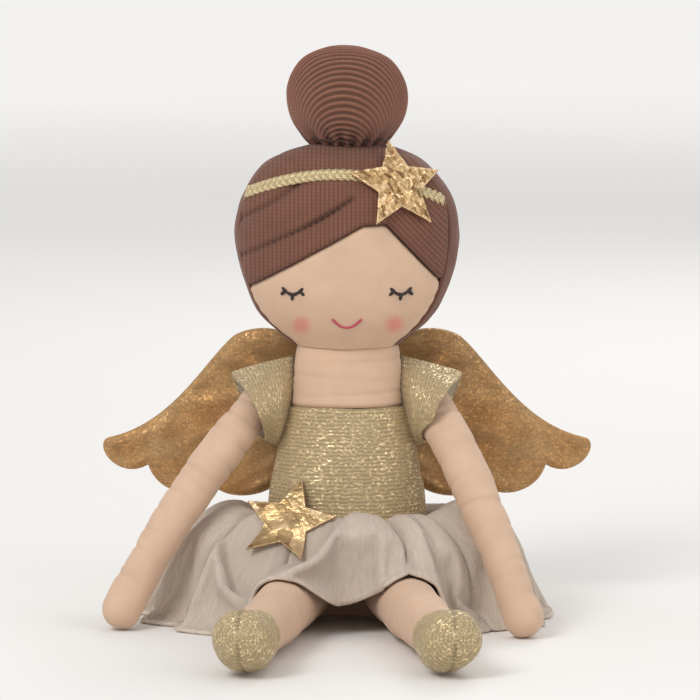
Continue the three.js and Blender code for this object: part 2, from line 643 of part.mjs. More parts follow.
// Skirt: gathered at the waist, puffed out over it, over the thighs in front and down to the surface elsewhere
function addSkirt(beltStarHeading) {
  const waist = { half: WAIST_WIDTH / 2 + GAP + SKIRT_CLOTH, z: WAIST_HEIGHT };
  const middleY = (SKIRT_BACK - SKIRT_FRONT) / 2;
  const halfDepth = (SKIRT_BACK + SKIRT_FRONT) / 2;
  const overThighs = hip.z + THIGH_WIDTH / 2 + SKIRT_CLOTH + 2 * SWING;
  const lowest = SKIRT_CLOTH / 2 + GAP;
  const legsReach = hip.x + SKIRT_FRONT * Math.tan(degrees(LEG_SPLAY)) + THIGH_WIDTH / 2;
  const surface = (u, v) => {
    const turn = 2 * Math.PI * u;
    const [right, back] = [Math.cos(turn), Math.sin(turn)];
    const start = new THREE.Vector3(waist.half * right, waist.half * BODY_DEPTH * back, waist.z);
    const hem = new THREE.Vector3((SKIRT_WIDTH / 2) * right, middleY + halfDepth * back, lowest);
    const clear = 1 - THREE.MathUtils.smoothstep(Math.abs(hem.x), legsReach + HEM_ROOM, legsReach + HEM_ROOM + HEM_FALL);
    if (back < 0) hem.z += (overThighs - lowest) * clear;
    const fromStar = Math.abs(Math.atan2(Math.sin(turn - beltStarHeading), Math.cos(turn - beltStarHeading)));
    const tucked = 1 - THREE.MathUtils.smoothstep(fromStar, 0.55, 0.95);
    const puff = start.clone().lerp(hem, THREE.MathUtils.lerp(0.5, 0.3, tucked));
    const tuckedZ = overThighs - SKIRT_PUFF * 0.4;
    puff.z = THREE.MathUtils.lerp(waist.z + SKIRT_PUFF, tuckedZ, tucked);
    const point = start.multiplyScalar((1 - v) ** 2).addScaledVector(puff, 2 * v * (1 - v)).addScaledVector(hem, v * v);
    const wave = FOLD_DEPTH * v * (1 - tucked) * Math.cos(SKIRT_FOLDS * turn) * (1 - 0.6 * (back < 0 ? clear : 0));
    const out = new THREE.Vector3(right, back, 0.6 * (1 - v)).normalize();
    point.addScaledVector(out, wave);
    point.z = Math.max(point.z, lowest);
    return point;
  };
  const steps = SKIRT_FOLDS * 5;
  const made = sheet(surface, steps, 5, SKIRT_CLOTH, true).subtract(bodySolid(GAP, 0, CHIN_Z));
  piece("skirt", made, gauze);
  return made;
}

// The belt star leans out from the bodice over a tuck in the skirt.
function addBeltStar(skirt) {
  const lean = degrees(BELT_STAR_LEAN);
  const z = WAIST_HEIGHT - BELT_STAR_DROP;
  const face = Math.atan2(BELT_STAR_X * BODY_DEPTH, WAIST_WIDTH / 2) * 0.6;
  const normal = new THREE.Vector3(Math.sin(face) * Math.cos(lean), -Math.cos(face) * Math.cos(lean), Math.sin(lean));
  const star = starAt(new THREE.Vector3(BELT_STAR_X, bodyFront(BELT_STAR_X, z), z), normal, degrees(BELT_STAR_TURN));
  const out = new THREE.Vector3(0, -Math.cos(lean), Math.sin(lean));
  piece("belt_star", restOn(star, [bodySolid(0, 0, CHIN_Z), skirt], out), foil);
}

// Wing outline in its own plane: x from the hinge seam to the tip, y up from the seat. Each point is a share of the
// reach and a share of the height: the root, the arch, the long upper edge, the tip and three lobes back to the root.
function wingShape() {
  const reach = WING_SPAN / 2 - WING_ROOT;
  const at = (out, up) => [reach * out, WING_FOOT + WING_HEIGHT * up];
  const shape = new THREE.Shape();
  shape.moveTo(...at(0, 0.24));
  shape.lineTo(...at(0, 0.79));
  shape.bezierCurveTo(...at(0.1, 0.93), ...at(0.27, 1.035), ...at(0.42, 0.93));
  shape.bezierCurveTo(...at(0.55, 0.79), ...at(0.69, 0.415), ...at(0.97, 0.335));
  shape.bezierCurveTo(...at(1.02, 0.32), ...at(1.0, 0.19), ...at(0.9, 0.155));
  shape.bezierCurveTo(...at(0.86, 0.145), ...at(0.83, 0.155), ...at(0.8, 0.18));
  shape.bezierCurveTo(...at(0.77, 0.035), ...at(0.62, -0.035), ...at(0.52, 0.07));
  shape.bezierCurveTo(...at(0.45, -0.035), ...at(0.25, 0), ...at(0.2, 0.14));
  shape.bezierCurveTo(...at(0.14, 0.085), ...at(0.05, 0.14), ...at(0, 0.24));
  return shape;
}

// Wings: two faces with wadding between them, flat and swept back from the hinge seam behind the bodice
function addWings() {
  const tabFoot = NECKLINE_Z - TAB_HEIGHT / 2;
  const tabBack = -bodyFront(0, tabFoot) + GAP + TAB_THICKNESS;
  const layers = [
    ["front", WING_CLOTH, 1, lame],
    ["wadding", WADDING, WADDING_SHARE, fibre],
    ["back", WING_CLOTH, 1, lame],
  ];
  for (const [name, side] of [["left", 1], ["right", -1]]) {
    const group = new THREE.Group();
    group.position.set(side * WING_ROOT, tabBack + GAP, 0);
    group.rotation.z = side * degrees(WING_SWEEP);
    let depth = 0;
    for (const [layer, thickness, share, material] of layers) {
      const plate = new THREE.ExtrudeGeometry(wingShape(), { depth: thickness, bevelEnabled: false, curveSegments: 6 });
      plate.computeBoundingBox();
      const centre = plate.boundingBox.getCenter(new THREE.Vector3());
      plate.translate(-centre.x, -centre.y, 0).scale(share, share, 1).translate(centre.x, centre.y, 0);
      plate.rotateX(Math.PI / 2).scale(side, 1, 1).translate(0, thickness + depth, 0);
      piece(`${name}_wing_${layer}`, solid(plate), material, group);
      depth += thickness + GAP;
    }
    doll.add(group);
  }
  const tab = block([-TAB_WIDTH / 2, 0, tabFoot], [TAB_WIDTH / 2, tabBack, tabFoot + TAB_HEIGHT]);
  piece("wing_tab", tab.subtract(bodySolid(GAP, 0, CHIN_Z)), lame);
}

addBody();
addHead();
addArm("left", 1, LEFT_ARM_HEADING);
addArm("right", -1, RIGHT_ARM_HEADING);
addLeg("left", 1);
addLeg("right", -1);
addBeltStar(addSkirt(Math.atan2(-1, BELT_STAR_X / 30)));
addWings();

export default doll;
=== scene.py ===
"""Dresses a seated plush angel: cloth, knit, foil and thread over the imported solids, in their own frame."""

import functools
import math

import bmesh
import bpy
import numpy as np
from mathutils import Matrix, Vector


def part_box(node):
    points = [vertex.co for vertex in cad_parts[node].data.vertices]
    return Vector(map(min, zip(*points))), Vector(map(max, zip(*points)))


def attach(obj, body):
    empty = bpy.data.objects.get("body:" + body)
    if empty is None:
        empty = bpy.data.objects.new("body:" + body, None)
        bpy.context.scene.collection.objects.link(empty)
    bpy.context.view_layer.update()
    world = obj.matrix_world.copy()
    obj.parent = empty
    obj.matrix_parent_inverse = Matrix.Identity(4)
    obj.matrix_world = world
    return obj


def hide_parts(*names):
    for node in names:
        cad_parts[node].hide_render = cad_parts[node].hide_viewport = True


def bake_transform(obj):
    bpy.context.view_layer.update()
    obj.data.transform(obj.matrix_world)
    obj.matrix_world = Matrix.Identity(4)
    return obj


bl_info = {
    "name": "Plush angel",
    "version": (1, 0, 0),
    "blender": (4, 5, 0),
    "location": "View3D > Sidebar > Plush angel",
    "description": "Sews a seated plush angel over its packed solids",
    "category": "Add Mesh",
}

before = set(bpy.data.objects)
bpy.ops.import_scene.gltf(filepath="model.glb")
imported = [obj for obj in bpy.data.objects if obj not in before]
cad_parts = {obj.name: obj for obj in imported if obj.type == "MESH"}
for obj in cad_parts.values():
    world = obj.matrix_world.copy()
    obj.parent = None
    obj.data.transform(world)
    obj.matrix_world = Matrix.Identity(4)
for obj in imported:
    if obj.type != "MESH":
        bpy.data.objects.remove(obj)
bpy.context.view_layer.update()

MM = 0.001  # shapes are worked out in millimetres, and meshes are in metres
SIDES = {"left": 1, "right": -1}
FULL_TURN = 2 * np.pi


def linear(colour):
    """An sRGB hex colour as linear red, green and blue."""
    channel = np.array([int(colour[i : i + 2], 16) for i in (1, 3, 5)]) / 255
    return tuple(np.where(channel <= 0.04045, channel / 12.92, ((channel + 0.055) / 1.055) ** 2.4))


def length(name, description, default):
    """A size that a maker would change, kept in metres."""
    return bpy.props.FloatProperty(
        name=name, description=description, default=default * MM, min=0, unit="LENGTH"
    )


def colour(name, description, default):
    """A colour that a maker would change."""
    return bpy.props.FloatVectorProperty(
        name=name, description=description, default=linear(default), min=0, max=1, size=3, subtype="COLOR"
    )


class AngelSizes(bpy.types.PropertyGroup):
    """Sizes of the stitched and knitted detail on the angel."""

    rib_pitch: length("Bun rib", "From one rib of the bun's knit to the next", 2.1)
    rib_depth: length("Bun rib depth", "How far a rib stands over the groove beside it", 0.5)
    wale: length("Knit wale", "Width of one column of stitches in the hair", 1.4)
    course: length("Lurex course", "Height of one row of the bodice's knit", 1.25)
    seam_depth: length("Seam depth", "How deep two panels roll in where they are sewn together", 1.0)
    crease_depth: length("Limb crease", "Depth of the creases across the arms and legs", 0.5)
    braid_width: length("Braid width", "Across the braid round the head", 4.0)
    foil_relief: length("Foil relief", "How far the hammered foil of the stars rises and falls", 0.4)
    thread: length("Embroidery thread", "Width of the stitched eyes and mouth", 1.15)
    puff: length("Skirt puff", "How far a puff of the skirt stands over the folds beside it", 17.0)
    crinkle: length("Wing crinkle", "Depth of the crinkles in the wings' cloth", 0.45)


class AngelColours(bpy.types.PropertyGroup):
    """Colours of the angel's cloths and threads."""

    skin: colour("Skin cotton", "Cotton of the face, neck, arms and legs", "#d5b59b")
    blush: colour("Blush", "Powder on the cheeks", "#d97f78")
    hair: colour("Hair knit", "Knit of the hair and bun", "#7b5445")
    lurex: colour("Lurex knit", "Knit of the bodice, sleeves and slippers", "#b29d78")
    sleeve_lining: colour("Sleeve lining", "Inside of the sleeves", "#b7ab98")
    gauze: colour("Skirt gauze", "Gauze of the skirt", "#e6d5c4")
    lame: colour("Wing lame", "Metal cloth of the wings", "#b28b5e")
    foil: colour("Star foil", "Foil of the two stars", "#dcbc8c")
    braid: colour("Braid", "Metal thread of the braid round the head", "#dcc89c")
    dark_thread: colour("Eye thread", "Thread of the closed eyes", "#2f2320")
    pink_thread: colour("Mouth thread", "Thread of the mouth", "#cf5468")
    brown_thread: colour("Hair thread", "Thread that gathers the bun and sews the strands", "#4b2b21")


# Lines and noise


def run_along(line):
    """The length along a line of points, up to each of them."""
    return np.concatenate([[0], np.cumsum(np.linalg.norm(np.diff(line, axis=0), axis=1))])


def even(line, count):
    """Points at even steps of length along a line of points."""
    run = run_along(line)
    at = np.linspace(0, run[-1], count)
    return np.stack([np.interp(at, run, column) for column in line.T], axis=1)


def spline(stations, count):
    """A smooth line through stations: each stretch is a cubic that leaves and reaches its stations along the
    line between their neighbours. The points lie at even steps of length."""
    steps_in_a_stretch = 60
    p = np.asarray(stations, float)
    last = len(p) - 1
    t = np.linspace(0, last, steps_in_a_stretch * last + 1)
    i = np.minimum(t.astype(int), last - 1)
    f = (t - i)[:, None]
    a, b, c, d = (p[np.clip(i + k, 0, last)] for k in (-1, 0, 1, 2))
    line = (2 * f**3 - 3 * f**2 + 1) * b + (3 * f**2 - 2 * f**3) * c
    line += (f**3 - 2 * f**2 + f) * (c - a) / 2 + (f**3 - f**2) * (d - b) / 2
    return even(line, count)


def ease(value, low, high):
    """0 below low, 1 above high, and a smooth step of 3t² - 2t³ between them."""
    t = np.clip((value - low) / (high - low), 0, 1)
    return t * t * (3 - 2 * t)


def bell(away, width):
    """1 at no distance, falling to near 0 by twice the width: the exponential of -(away / width)²."""
    return np.exp(-((away / width) ** 2))


def lumps(points, size, seed):
    """Soft uneven noise of about -1 to 1: the sum of plane waves about one size long, in seeded
    directions."""
    waves, level = 24, 6
    seeded = np.random.default_rng(seed)
    heading = unit(seeded.normal(size=(waves, points.shape[-1])))
    turn = FULL_TURN / (size * seeded.uniform(0.7, 1.5, waves))
    phase = seeded.uniform(0, FULL_TURN, waves)
    return np.sin(points @ (heading * turn[:, None]).T + phase).sum(-1) / level


def smoothed(values):
    """The mean of each value and its four neighbours, which takes the steps out of a searched line."""
    padded = np.pad(values, 2, mode="edge")
    return np.mean([padded[k : k + len(values)] for k in range(5)], axis=0)


def off_line(points, line):
    """How far each point is from a line of points, as the least distance to its straight stretches, and the
    direction straight away from the line there."""
    start, end = line[:-1], line[1:]
    run = end - start
    to = points[..., None, :] - start
    share = np.clip((to * run).sum(-1) / (run * run).sum(-1), 0, 1)
    to = to - share[..., None] * run
    gap = np.linalg.norm(to, axis=-1)
    nearest = np.argmin(gap, axis=-1)[..., None]
    gap = np.take_along_axis(gap, nearest, -1)[..., 0]
    to = np.take_along_axis(to, nearest[..., None], -2)[..., 0, :]
    return gap, to / np.maximum(gap[..., None], 1e-6)


# Grids of points


def unit(vectors):
    """Vectors drawn out or in to length 1."""
    return vectors / np.maximum(np.linalg.norm(vectors, axis=-1, keepdims=True), 1e-9)


def turns_round(sides):
    """Even turns once round, with the first one repeated as the last."""
    return np.linspace(0, FULL_TURN, sides + 1)


def turned(outline, ratio, turns):
    """A profile of (half width, height) carried round an upright oval, front at turn 0:
    x = half · sin(turn), y = -ratio · half · cos(turn)."""
    half, height = outline[..., :1], outline[..., 1:]
    x, y, z = np.broadcast_arrays(half * np.sin(turns), -ratio * half * np.cos(turns), height)
    return np.stack([x, y, z], axis=-1)


def facing(points):
    """The direction square to a grid of points: the cross product of its two slopes."""
    return unit(np.cross(np.gradient(points, axis=1), np.gradient(points, axis=0)))


def facing_round(points):
    """The direction square to a grid whose last column repeats its first, with no step at that join."""
    ring = np.concatenate([points[:, -2:-1], points, points[:, 1:2]], axis=1)
    return facing(ring)[:, 1:-1]


def raised(points, height, square):
    """A grid of points moved by a height along the direction square to each."""
    return points + height[..., None] * square


def swept(path, radius, up, sides=10, flat=1.0):
    """A round section carried along a path and closed at both ends: each ring is the path's point plus
    radius · (cos(a) · across + flat · sin(a) · up). Radius is one number or one for each point."""
    along = unit(np.gradient(path, axis=0))
    up = np.broadcast_to(np.asarray(up, float), path.shape)
    up = unit(up - (up * along).sum(1, keepdims=True) * along)
    across = np.cross(up, along)
    radius = np.broadcast_to(np.asarray(radius, float), len(path))
    radius = np.concatenate([[0], radius, [0]])[:, None, None]
    rows = np.r_[0, np.arange(len(path)), len(path) - 1]
    a = turns_round(sides)[None, :, None]
    ring = np.cos(a) * across[rows][:, None] + flat * np.sin(a) * up[rows][:, None]
    return path[rows][:, None] + radius * ring


def layered(points, thickness, square):
    """A sheet with two faces, closed along both of its edges: the grid's rows moved half the thickness out, a
    round edge, the rows back again moved half the thickness in, and the first edge once more."""
    half = np.broadcast_to(np.asarray(thickness) / 2, points.shape[:2])[..., None]
    outer, inner = points + half * square, (points - half * square)[::-1]
    far = points[-1:] + half[-1:] * unit(points[-1:] - points[-2:-1])
    near = points[:1] + half[:1] * unit(points[:1] - points[1:2])
    return np.concatenate([near, outer, far, inner, near])


def on_layers(outer, inner):
    """A layered sheet's values, from those of its outer and its inner face, in the order of its rows."""
    return np.concatenate([outer[:1], outer, outer[-1:], inner[::-1], outer[:1]])


def run_lengths(points):
    """How far each point of a grid is along its row and along its column, in millimetres, as pattern
    coordinates."""
    across = np.linalg.norm(np.diff(points, axis=1), axis=-1).max(0)
    along = np.linalg.norm(np.diff(points, axis=0), axis=-1).mean(1)
    u = np.concatenate([[0], np.cumsum(across)])[None, :]
    v = np.concatenate([[0], np.cumsum(along)])[:, None]
    return np.stack(np.broadcast_arrays(u, v), axis=-1)


def patch(points, fold=0.0, uv=None):
    """One grid of a piece, with a share from 0 to 1 at each point of its material's painted colour, which is
    painted shade in folds, grooves and seams, and a paler rim on the stars, and its pattern coordinates,
    which are its run lengths where none are given."""
    return {"points": points, "fold": fold, "uv": run_lengths(points) if uv is None else uv}


def cells(rows, columns):
    """The numbers of the four corners of each cell of a grid."""
    number = np.arange(rows * columns).reshape(rows, columns)
    corners = [number[:-1, :-1], number[:-1, 1:], number[1:, 1:], number[1:, :-1]]
    return np.stack(corners, axis=-1).reshape(-1, 4)


def make_piece(name, patches, *materials):
    """Joins patches into one mesh in the frame's metres. A patch may also name a slot: which material, for
    all of it or for each of its cells. Cells become faces, and points in one place, as at poles and joins,
    become one."""
    points, faces, uv, fold, slot = [], [], [], [], []
    start = 0
    for part in patches:
        rows, columns = part["points"].shape[:2]
        faces.append(start + cells(rows, columns))
        points.append(part["points"].reshape(-1, 3))
        uv.append(np.broadcast_to(part["uv"], (rows, columns, 2)).reshape(-1, 2))
        fold.append(np.broadcast_to(part["fold"], (rows, columns)).ravel())
        slot.append(np.broadcast_to(part.get("slot", 0), (rows - 1, columns - 1)).ravel())
        start += rows * columns
    points, faces = np.concatenate(points) * MM, np.concatenate(faces)
    if not np.isfinite(points).all():
        raise RuntimeError(f"{name} has a point that isn't finite")
    mesh = bpy.data.meshes.new(name)
    mesh.from_pydata(points, [], faces)
    mesh.uv_layers.new(name="cloth").data.foreach_set("uv", np.concatenate(uv)[faces.ravel()].ravel())
    mesh.attributes.new("fold", "FLOAT", "POINT").data.foreach_set("value", np.concatenate(fold))
    mesh.polygons.foreach_set("material_index", np.concatenate(slot).astype(np.int32))
    shape = bmesh.new()
    shape.from_mesh(mesh)
    bmesh.ops.remove_doubles(shape, verts=shape.verts, dist=1e-7)
    shape.to_mesh(mesh)
    shape.free()
    mesh.shade_smooth()
    for material in materials:
        mesh.materials.append(material)
    piece = bpy.data.objects.new(name, mesh)
    bpy.context.scene.collection.objects.link(piece)
    return piece


def stands_for(piece, body, slot, *nodes):
    """The piece rides on a body and hides the solids that it replaces. Its slot is not used."""
    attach(piece, body)
    if nodes:
        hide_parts(*nodes)
    return piece


# The part's own outlines, in millimetres from the middle of the seat

WAIST_Z, NECKLINE_Z, CHIN_Z, CROWN_Z = 30.0, 69.0, 88.0, 156.0
BODY_RATIO = 0.68
BODY_SIDE = spline([(23, 0), (28.5, 13.5), (26.75, 30), (22.69, 53.4), (19.75, 69), (16.5, 88)], 400)
NECK_CREASES = ((73.0, 0.9, 0.8), (78.2, -1.1, 1.1), (83.4, 0.8, 0.9))  # height, tilt and width
DOME_HALF, DOME_RISE = 16.2, 5
HEAD_RATIO = 52 / 72.5
HEAD_LOWER = [(16.5, 0), (26.46, 8.5), (32.99, 19.38), (36.25, 36.04)]
HEAD_UPPER = [(33.71, 49.98), (23.2, 61.2), (0, 68)]
HEAD_SIDE = spline(HEAD_LOWER + HEAD_UPPER, 600) + (0, CHIN_Z)
HEAD_LIP = np.array([(13.6, 3.9), (14.4, 2.9), (15.3, 1.7), (15.9, 0.8)]) + (0, CHIN_Z)
HEAD_LINE = np.concatenate([HEAD_LIP, HEAD_SIDE])
HEAD_RUN = run_along(HEAD_LINE)
HEAD_SEAMS = np.radians([-73, 64])
HAIRLINE_X, HAIRLINE_Z = [-40, 5.4, 12.6, 40], [103.2, 128.5, 128.9, 99.3]
STRAND_SEAMS = [
    spline([(1.7, 137.2), (-10, 130), (-22.3, 123.7), (-36, 117)], 40),
    spline([(-16, 141.5), (-24, 135.5), (-37, 128.6)], 30),
]
CHEEKS = ((-14.6, 96.0), (15.2, 96.3))
EYE_X, EYE_HEIGHT, EYE_WIDTH, EYE_DROP = 17.2, 19.6, 6.8, 2.3
LASHES, LASH_LENGTH = ((-0.34, -0.75), (0, -0.12), (0.34, 0.75)), 2.0
MOUTH_HEIGHT, MOUTH_WIDTH, MOUTH_DROP = 9.2, 9.6, 3
BAND_TOP_Z, BAND_TOP_X, BAND_FALL, BAND_SPAN = 144.3, -3, 8.5, 33
BUN_LOWER = [(10.5, 0), (14.35, 4.29), (18.48, 11.22), (18.87, 19.8)]
BUN_UPPER = [(14.25, 28.38), (6.55, 32.34), (0, 33)]
BUN_FOOT_Z, TIE_Z = 152.0, CROWN_Z - 0.9
SHOULDER = np.array([25.832, 0, 72])
ARM_LENGTH, ARM_BOW, ARM_FALL = 86.0, 3.0, 65.2
ARM_HEADINGS = {"left": 58, "right": 35}
HIP = np.array([14.5, -15, 9.9])
LEG_LENGTH, LEG_FALL, SLIPPER_LENGTH, TOE_LIFT, LEG_SPLAY = 88.0, 0.3, 28.0, 5.0, 9
ARMHOLE_Z, ARMHOLE_HALF, SLEEVE_SHORT, SLEEVE_LONG = 69.8, 14.25, 4, 19
SKIRT_WAIST, SKIRT_TOP_Z = 26.9, WAIST_Z + 13.0
HEM_HALF_X, HEM_HALF_Y, HEM_MIDDLE_Y = 65.0, 51.0, -6
HEM_Z, HEM_LIFT, HEM_SAG = 0.9, 20.7, 6  # on the floor, more over the thighs, less between them
PUFF_FOLDS = np.radians([-178, -147, -115, -88, -62, -28, 21, 48, 78, 110, 146, 182])
WING_ROOT, WING_REACH, WING_FOOT, WING_HEIGHT, WING_SWEEP = 5.5, 76.5, 35.0, 58.0, math.radians(7)
WING_FRONT_Y, WING_DEPTH = 16.952, 4.0
WING_OUTLINE = [
    [(0, 0.24), (0, 0.42), (0, 0.61), (0, 0.79)],
    [(0, 0.79), (0.1, 0.93), (0.27, 1.035), (0.42, 0.93)],
    [(0.42, 0.93), (0.55, 0.79), (0.69, 0.415), (0.97, 0.335)],
    [(0.97, 0.335), (1.02, 0.32), (1, 0.19), (0.9, 0.155)],
    [(0.9, 0.155), (0.86, 0.145), (0.83, 0.155), (0.8, 0.18)],
    [(0.8, 0.18), (0.77, 0.035), (0.62, -0.035), (0.52, 0.07)],
    [(0.52, 0.07), (0.45, -0.035), (0.25, 0), (0.2, 0.14)],
    [(0.2, 0.14), (0.14, 0.085), (0.05, 0.14), (0, 0.24)],
]
STAR_RADIUS, STAR_INNER, STAR_THICKNESS = 16.0, 0.47, 1.0
FLOOR_GAP = 0.15  # least height of the soft legs and slippers over the floor
ARM_GAP, LEG_GAP, SLEEVE_GAP = 8.4, 10.6, 8.3  # least distance of loose cloth from a limb's middle
STAR_GAP, WING_GAP, HEM_GAP = 1.4, 2.4, 0.8  # least distance of the skirt from star, wings and floor


def half_at(side, z):
    """The half width of an outline at a height."""
    return np.interp(z, side[:, 1], side[:, 0])


def on_head(x, z, lift):
    """Points on the front of the head, lifted square off its cloth: y is the oval's front at that height."""
    x, z = np.broadcast_arrays(np.asarray(x, float), np.asarray(z, float))
    half = half_at(HEAD_SIDE, z)
    y = -HEAD_RATIO * half * np.sqrt(np.maximum(1 - (x / half) ** 2, 0))
    slope = (half_at(HEAD_SIDE, z + 1) - half_at(HEAD_SIDE, z - 1)) / 2
    square = unit(np.stack([x / half, y / half / HEAD_RATIO**2, -slope], axis=-1))
    return np.stack([x, y, z], axis=-1) + np.asarray(lift)[..., None] * square


def upright_from(along):
    """The direction nearest to straight up that is square to a limb's own."""
    up = np.array([0, 0, 1]) - along[2] * along
    return up / np.linalg.norm(up)


def arm_direction(name):
    """The way an arm points: out and ahead by its heading, and down by its fall."""
    heading = math.radians(ARM_HEADINGS[name])
    reach = math.sqrt(ARM_LENGTH**2 - ARM_FALL**2)
    across, ahead = SIDES[name] * reach * math.cos(heading), -reach * math.sin(heading)
    return np.array([across, ahead, -ARM_FALL]) / ARM_LENGTH


def arm_axis(name, run):
    """The middle of the arm at distances from the shoulder: a straight line bowed by a parabola."""
    along = arm_direction(name)
    share = np.clip(run / ARM_LENGTH, 0, 1)
    bow = ARM_BOW * 4 * share * (1 - share)
    return SHOULDER * (SIDES[name], 1, 1) + run[:, None] * along + bow[:, None] * upright_from(along)


def leg_direction(name):
    """The way a leg points: ahead, splayed to its side and down a little."""
    splay = math.radians(LEG_SPLAY)
    along = np.array([SIDES[name] * math.sin(splay), -math.cos(splay), -LEG_FALL / LEG_LENGTH])
    return along / np.linalg.norm(along)


def leg_axis(name, run):
    """The middle of the leg at distances from the hip: straight to the ankle, then lifted by a parabola to
    the toe."""
    along = leg_direction(name)
    past = np.maximum(run - LEG_LENGTH, 0) / SLIPPER_LENGTH
    lift = (TOE_LIFT * past**2)[:, None] * upright_from(along)
    return HIP * (SIDES[name], 1, 1) + run[:, None] * along + lift


def limb(profile, middle, along, sides):
    """A round limb: rings of the profile's radius about the points of its middle, square to the limb's
    direction."""
    up = upright_from(along)
    a = turns_round(sides)[None, :, None]
    return middle[:, None] + profile[:, :1, None] * (np.cos(a) * np.cross(up, along) + np.sin(a) * up)


def arm_rings(name, profile, sides):
    """An arm's points, for a profile of (radius, distance from the shoulder)."""
    return limb(profile, arm_axis(name, profile[:, 1]), arm_direction(name), sides)


def leg_rings(name, profile, sides):
    """A leg's points, for a profile of (radius, distance from the hip)."""
    return limb(profile, leg_axis(name, profile[:, 1]), leg_direction(name), sides)


def round_end(radius, start, end):
    """Part of a ball's outline about a limb's end, as (radius · sin(turn), -radius · cos(turn))."""
    turn = np.linspace(start, end, 12)
    return radius * np.stack([np.sin(turn), -np.cos(turn)], axis=-1)


ARM_SIDE = np.concatenate(
    [
        round_end(6.3, 0, 1.45),
        spline([(6.3, 0), (6.9, 30.1), (6.3, 70.5), (6.5, 86)], 120),
        round_end(6.5, np.pi / 2 + 0.12, np.pi) + (0, ARM_LENGTH),
    ]
)
LEG_STATIONS = [(9.6, 0), (9.31, 35.2), (8, 88), (9.3, 100.6), (7.44, 111.24), (0, 116)]
LEG_SIDE = np.concatenate([round_end(9.6, 0, 1.45), spline(LEG_STATIONS, 240)])


# Materials


def add(tree, kind, inputs=(), **settings):
    """Adds a shader node of a kind with its settings. Its inputs come in the order of its sockets in use, or
    by name. A socket, or a node by its first output in use, is linked, and anything else is set."""
    node = tree.nodes.new("ShaderNode" + kind)
    for key, value in settings.items():
        setattr(node, key, value)
    if isinstance(inputs, dict):
        given = [(node.inputs[key], value) for key, value in inputs.items()]
    else:
        given = list(zip([socket for socket in node.inputs if socket.enabled], inputs))
    for socket, value in given:
        if isinstance(value, bpy.types.Node):
            value = next(output for output in value.outputs if output.enabled)
        if isinstance(value, bpy.types.NodeSocket):
            tree.links.new(value, socket)
        else:
            socket.default_value = value
    return node


def finish_of(name, plain, pattern):
    """A material with one surface shader. Plain is what is the same all over, set on the shader's own
    sockets. Pattern adds the other nodes and says what is linked to which socket; its Painted shade and rim
    is the colour mixed in as far as the mesh's fold value goes, all of it where that is 1: painted shade in
    folds, grooves and seams, and a paler rim on the stars. Its Bump is the height, strength and depth of its
    relief."""
    material = bpy.data.materials.get(name)
    if material is not None:
        return material
    material = bpy.data.materials.new(name)
    material.use_nodes = True
    material.node_tree.nodes.clear()
    node = functools.partial(add, material.node_tree)
    linked = pattern(node)
    # The fold attribute mixes in painted shade, and on the stars a paler rim.
    if "Fold" in linked:
        deep = node("Attribute", attribute_name="fold").outputs["Fac"]
        linked["Base Color"] = node("Mix", [deep, linked["Base Color"], linked.pop("Fold")], data_type="RGBA")
    if "Bump" in linked:
        height, strength, depth = linked.pop("Bump")
        linked["Normal"] = node("Bump", {"Height": height, "Strength": strength, "Distance": depth})
    node("OutputMaterial", {"Surface": node("BsdfPrincipled", {**plain, **linked})})
    return material


def rgba(shade, share=1.0):
    """A colour for a socket, a share as bright, or with a share for each channel."""
    return (*np.minimum(np.multiply(shade, share), 1.0), 1.0)


def weave_of(node, uv, width):
    """Threads of a width in millimetres that pass over and under each other: the product of a sine each
    way."""
    angle = node("VectorMath", [uv, (FULL_TURN / width, FULL_TURN / width, 1)], operation="MULTIPLY")
    split = node("SeparateXYZ", [angle])
    warp = node("Math", [split.outputs["X"]], operation="SINE")
    weft = node("Math", [split.outputs["Y"]], operation="SINE")
    return node("Math", [warp, weft], operation="MULTIPLY")


def woven_cotton(name, shade, blush=None):
    """Woven cotton, brushed: a fine over-and-under weave that only shows close by, faint slubs, and a soft
    matt bloom. The weave is drawn 0.7 mm wide, coarser than real thread, so that it shows. Blush is powder on
    two cheeks, which fades out over about 4 mm."""

    def pattern(node):
        """The slubs' noise mixes the shade, gaps between threads darken it, and the weave is its relief."""
        place = node("TexCoord").outputs["Object"]
        cloth = weave_of(node, node("UVMap", uv_map="cloth"), 0.7)
        slub = node("TexNoise", {"Vector": place, "Scale": 1 / (9 * MM), "Detail": 3, "Roughness": 0.6})
        tone = node("MapRange", [slub, 0.3, 0.7, 0, 1])
        base = node("Mix", [tone, rgba(shade, 0.94), rgba(shade, 1.04)], data_type="RGBA")
        thread = node("MapRange", [cloth, -1, 1, 0.06, 0])
        base = node("Mix", [thread, base, rgba(shade, 0.5)], data_type="RGBA")
        if blush is not None:
            spot = node("SeparateXYZ", [place])
            flat = node("CombineXYZ", {"X": spot.outputs["X"], "Z": spot.outputs["Z"]})
            grain = node("TexNoise", {"Vector": place, "Scale": 1 / (1.2 * MM), "Detail": 2})
            dusted = node("MapRange", [grain, 0.2, 0.8, 0.75, 1])
            for x, z in CHEEKS:
                away = node("VectorMath", [flat, (x * MM, 0, z * MM)], operation="DISTANCE")
                soft = node("MapRange", [away, 4.6 * MM, 0.8 * MM, 0, 0.8], interpolation_type="SMOOTHSTEP")
                share = node("Math", [soft, dusted], operation="MULTIPLY")
                base = node("Mix", [share, base, rgba(blush)], data_type="RGBA")
        # The darker, warmer colour is painted shade in folds, creases and seams.
        return {"Base Color": base, "Fold": rgba(shade, (0.55, 0.45, 0.4)), "Bump": (cloth, 0.25, 0.06 * MM)}

    plain = {"Roughness": 0.85, "Specular IOR Level": 0.25, "Sheen Weight": 0.12, "Sheen Roughness": 0.5}
    return finish_of(name, plain, pattern)


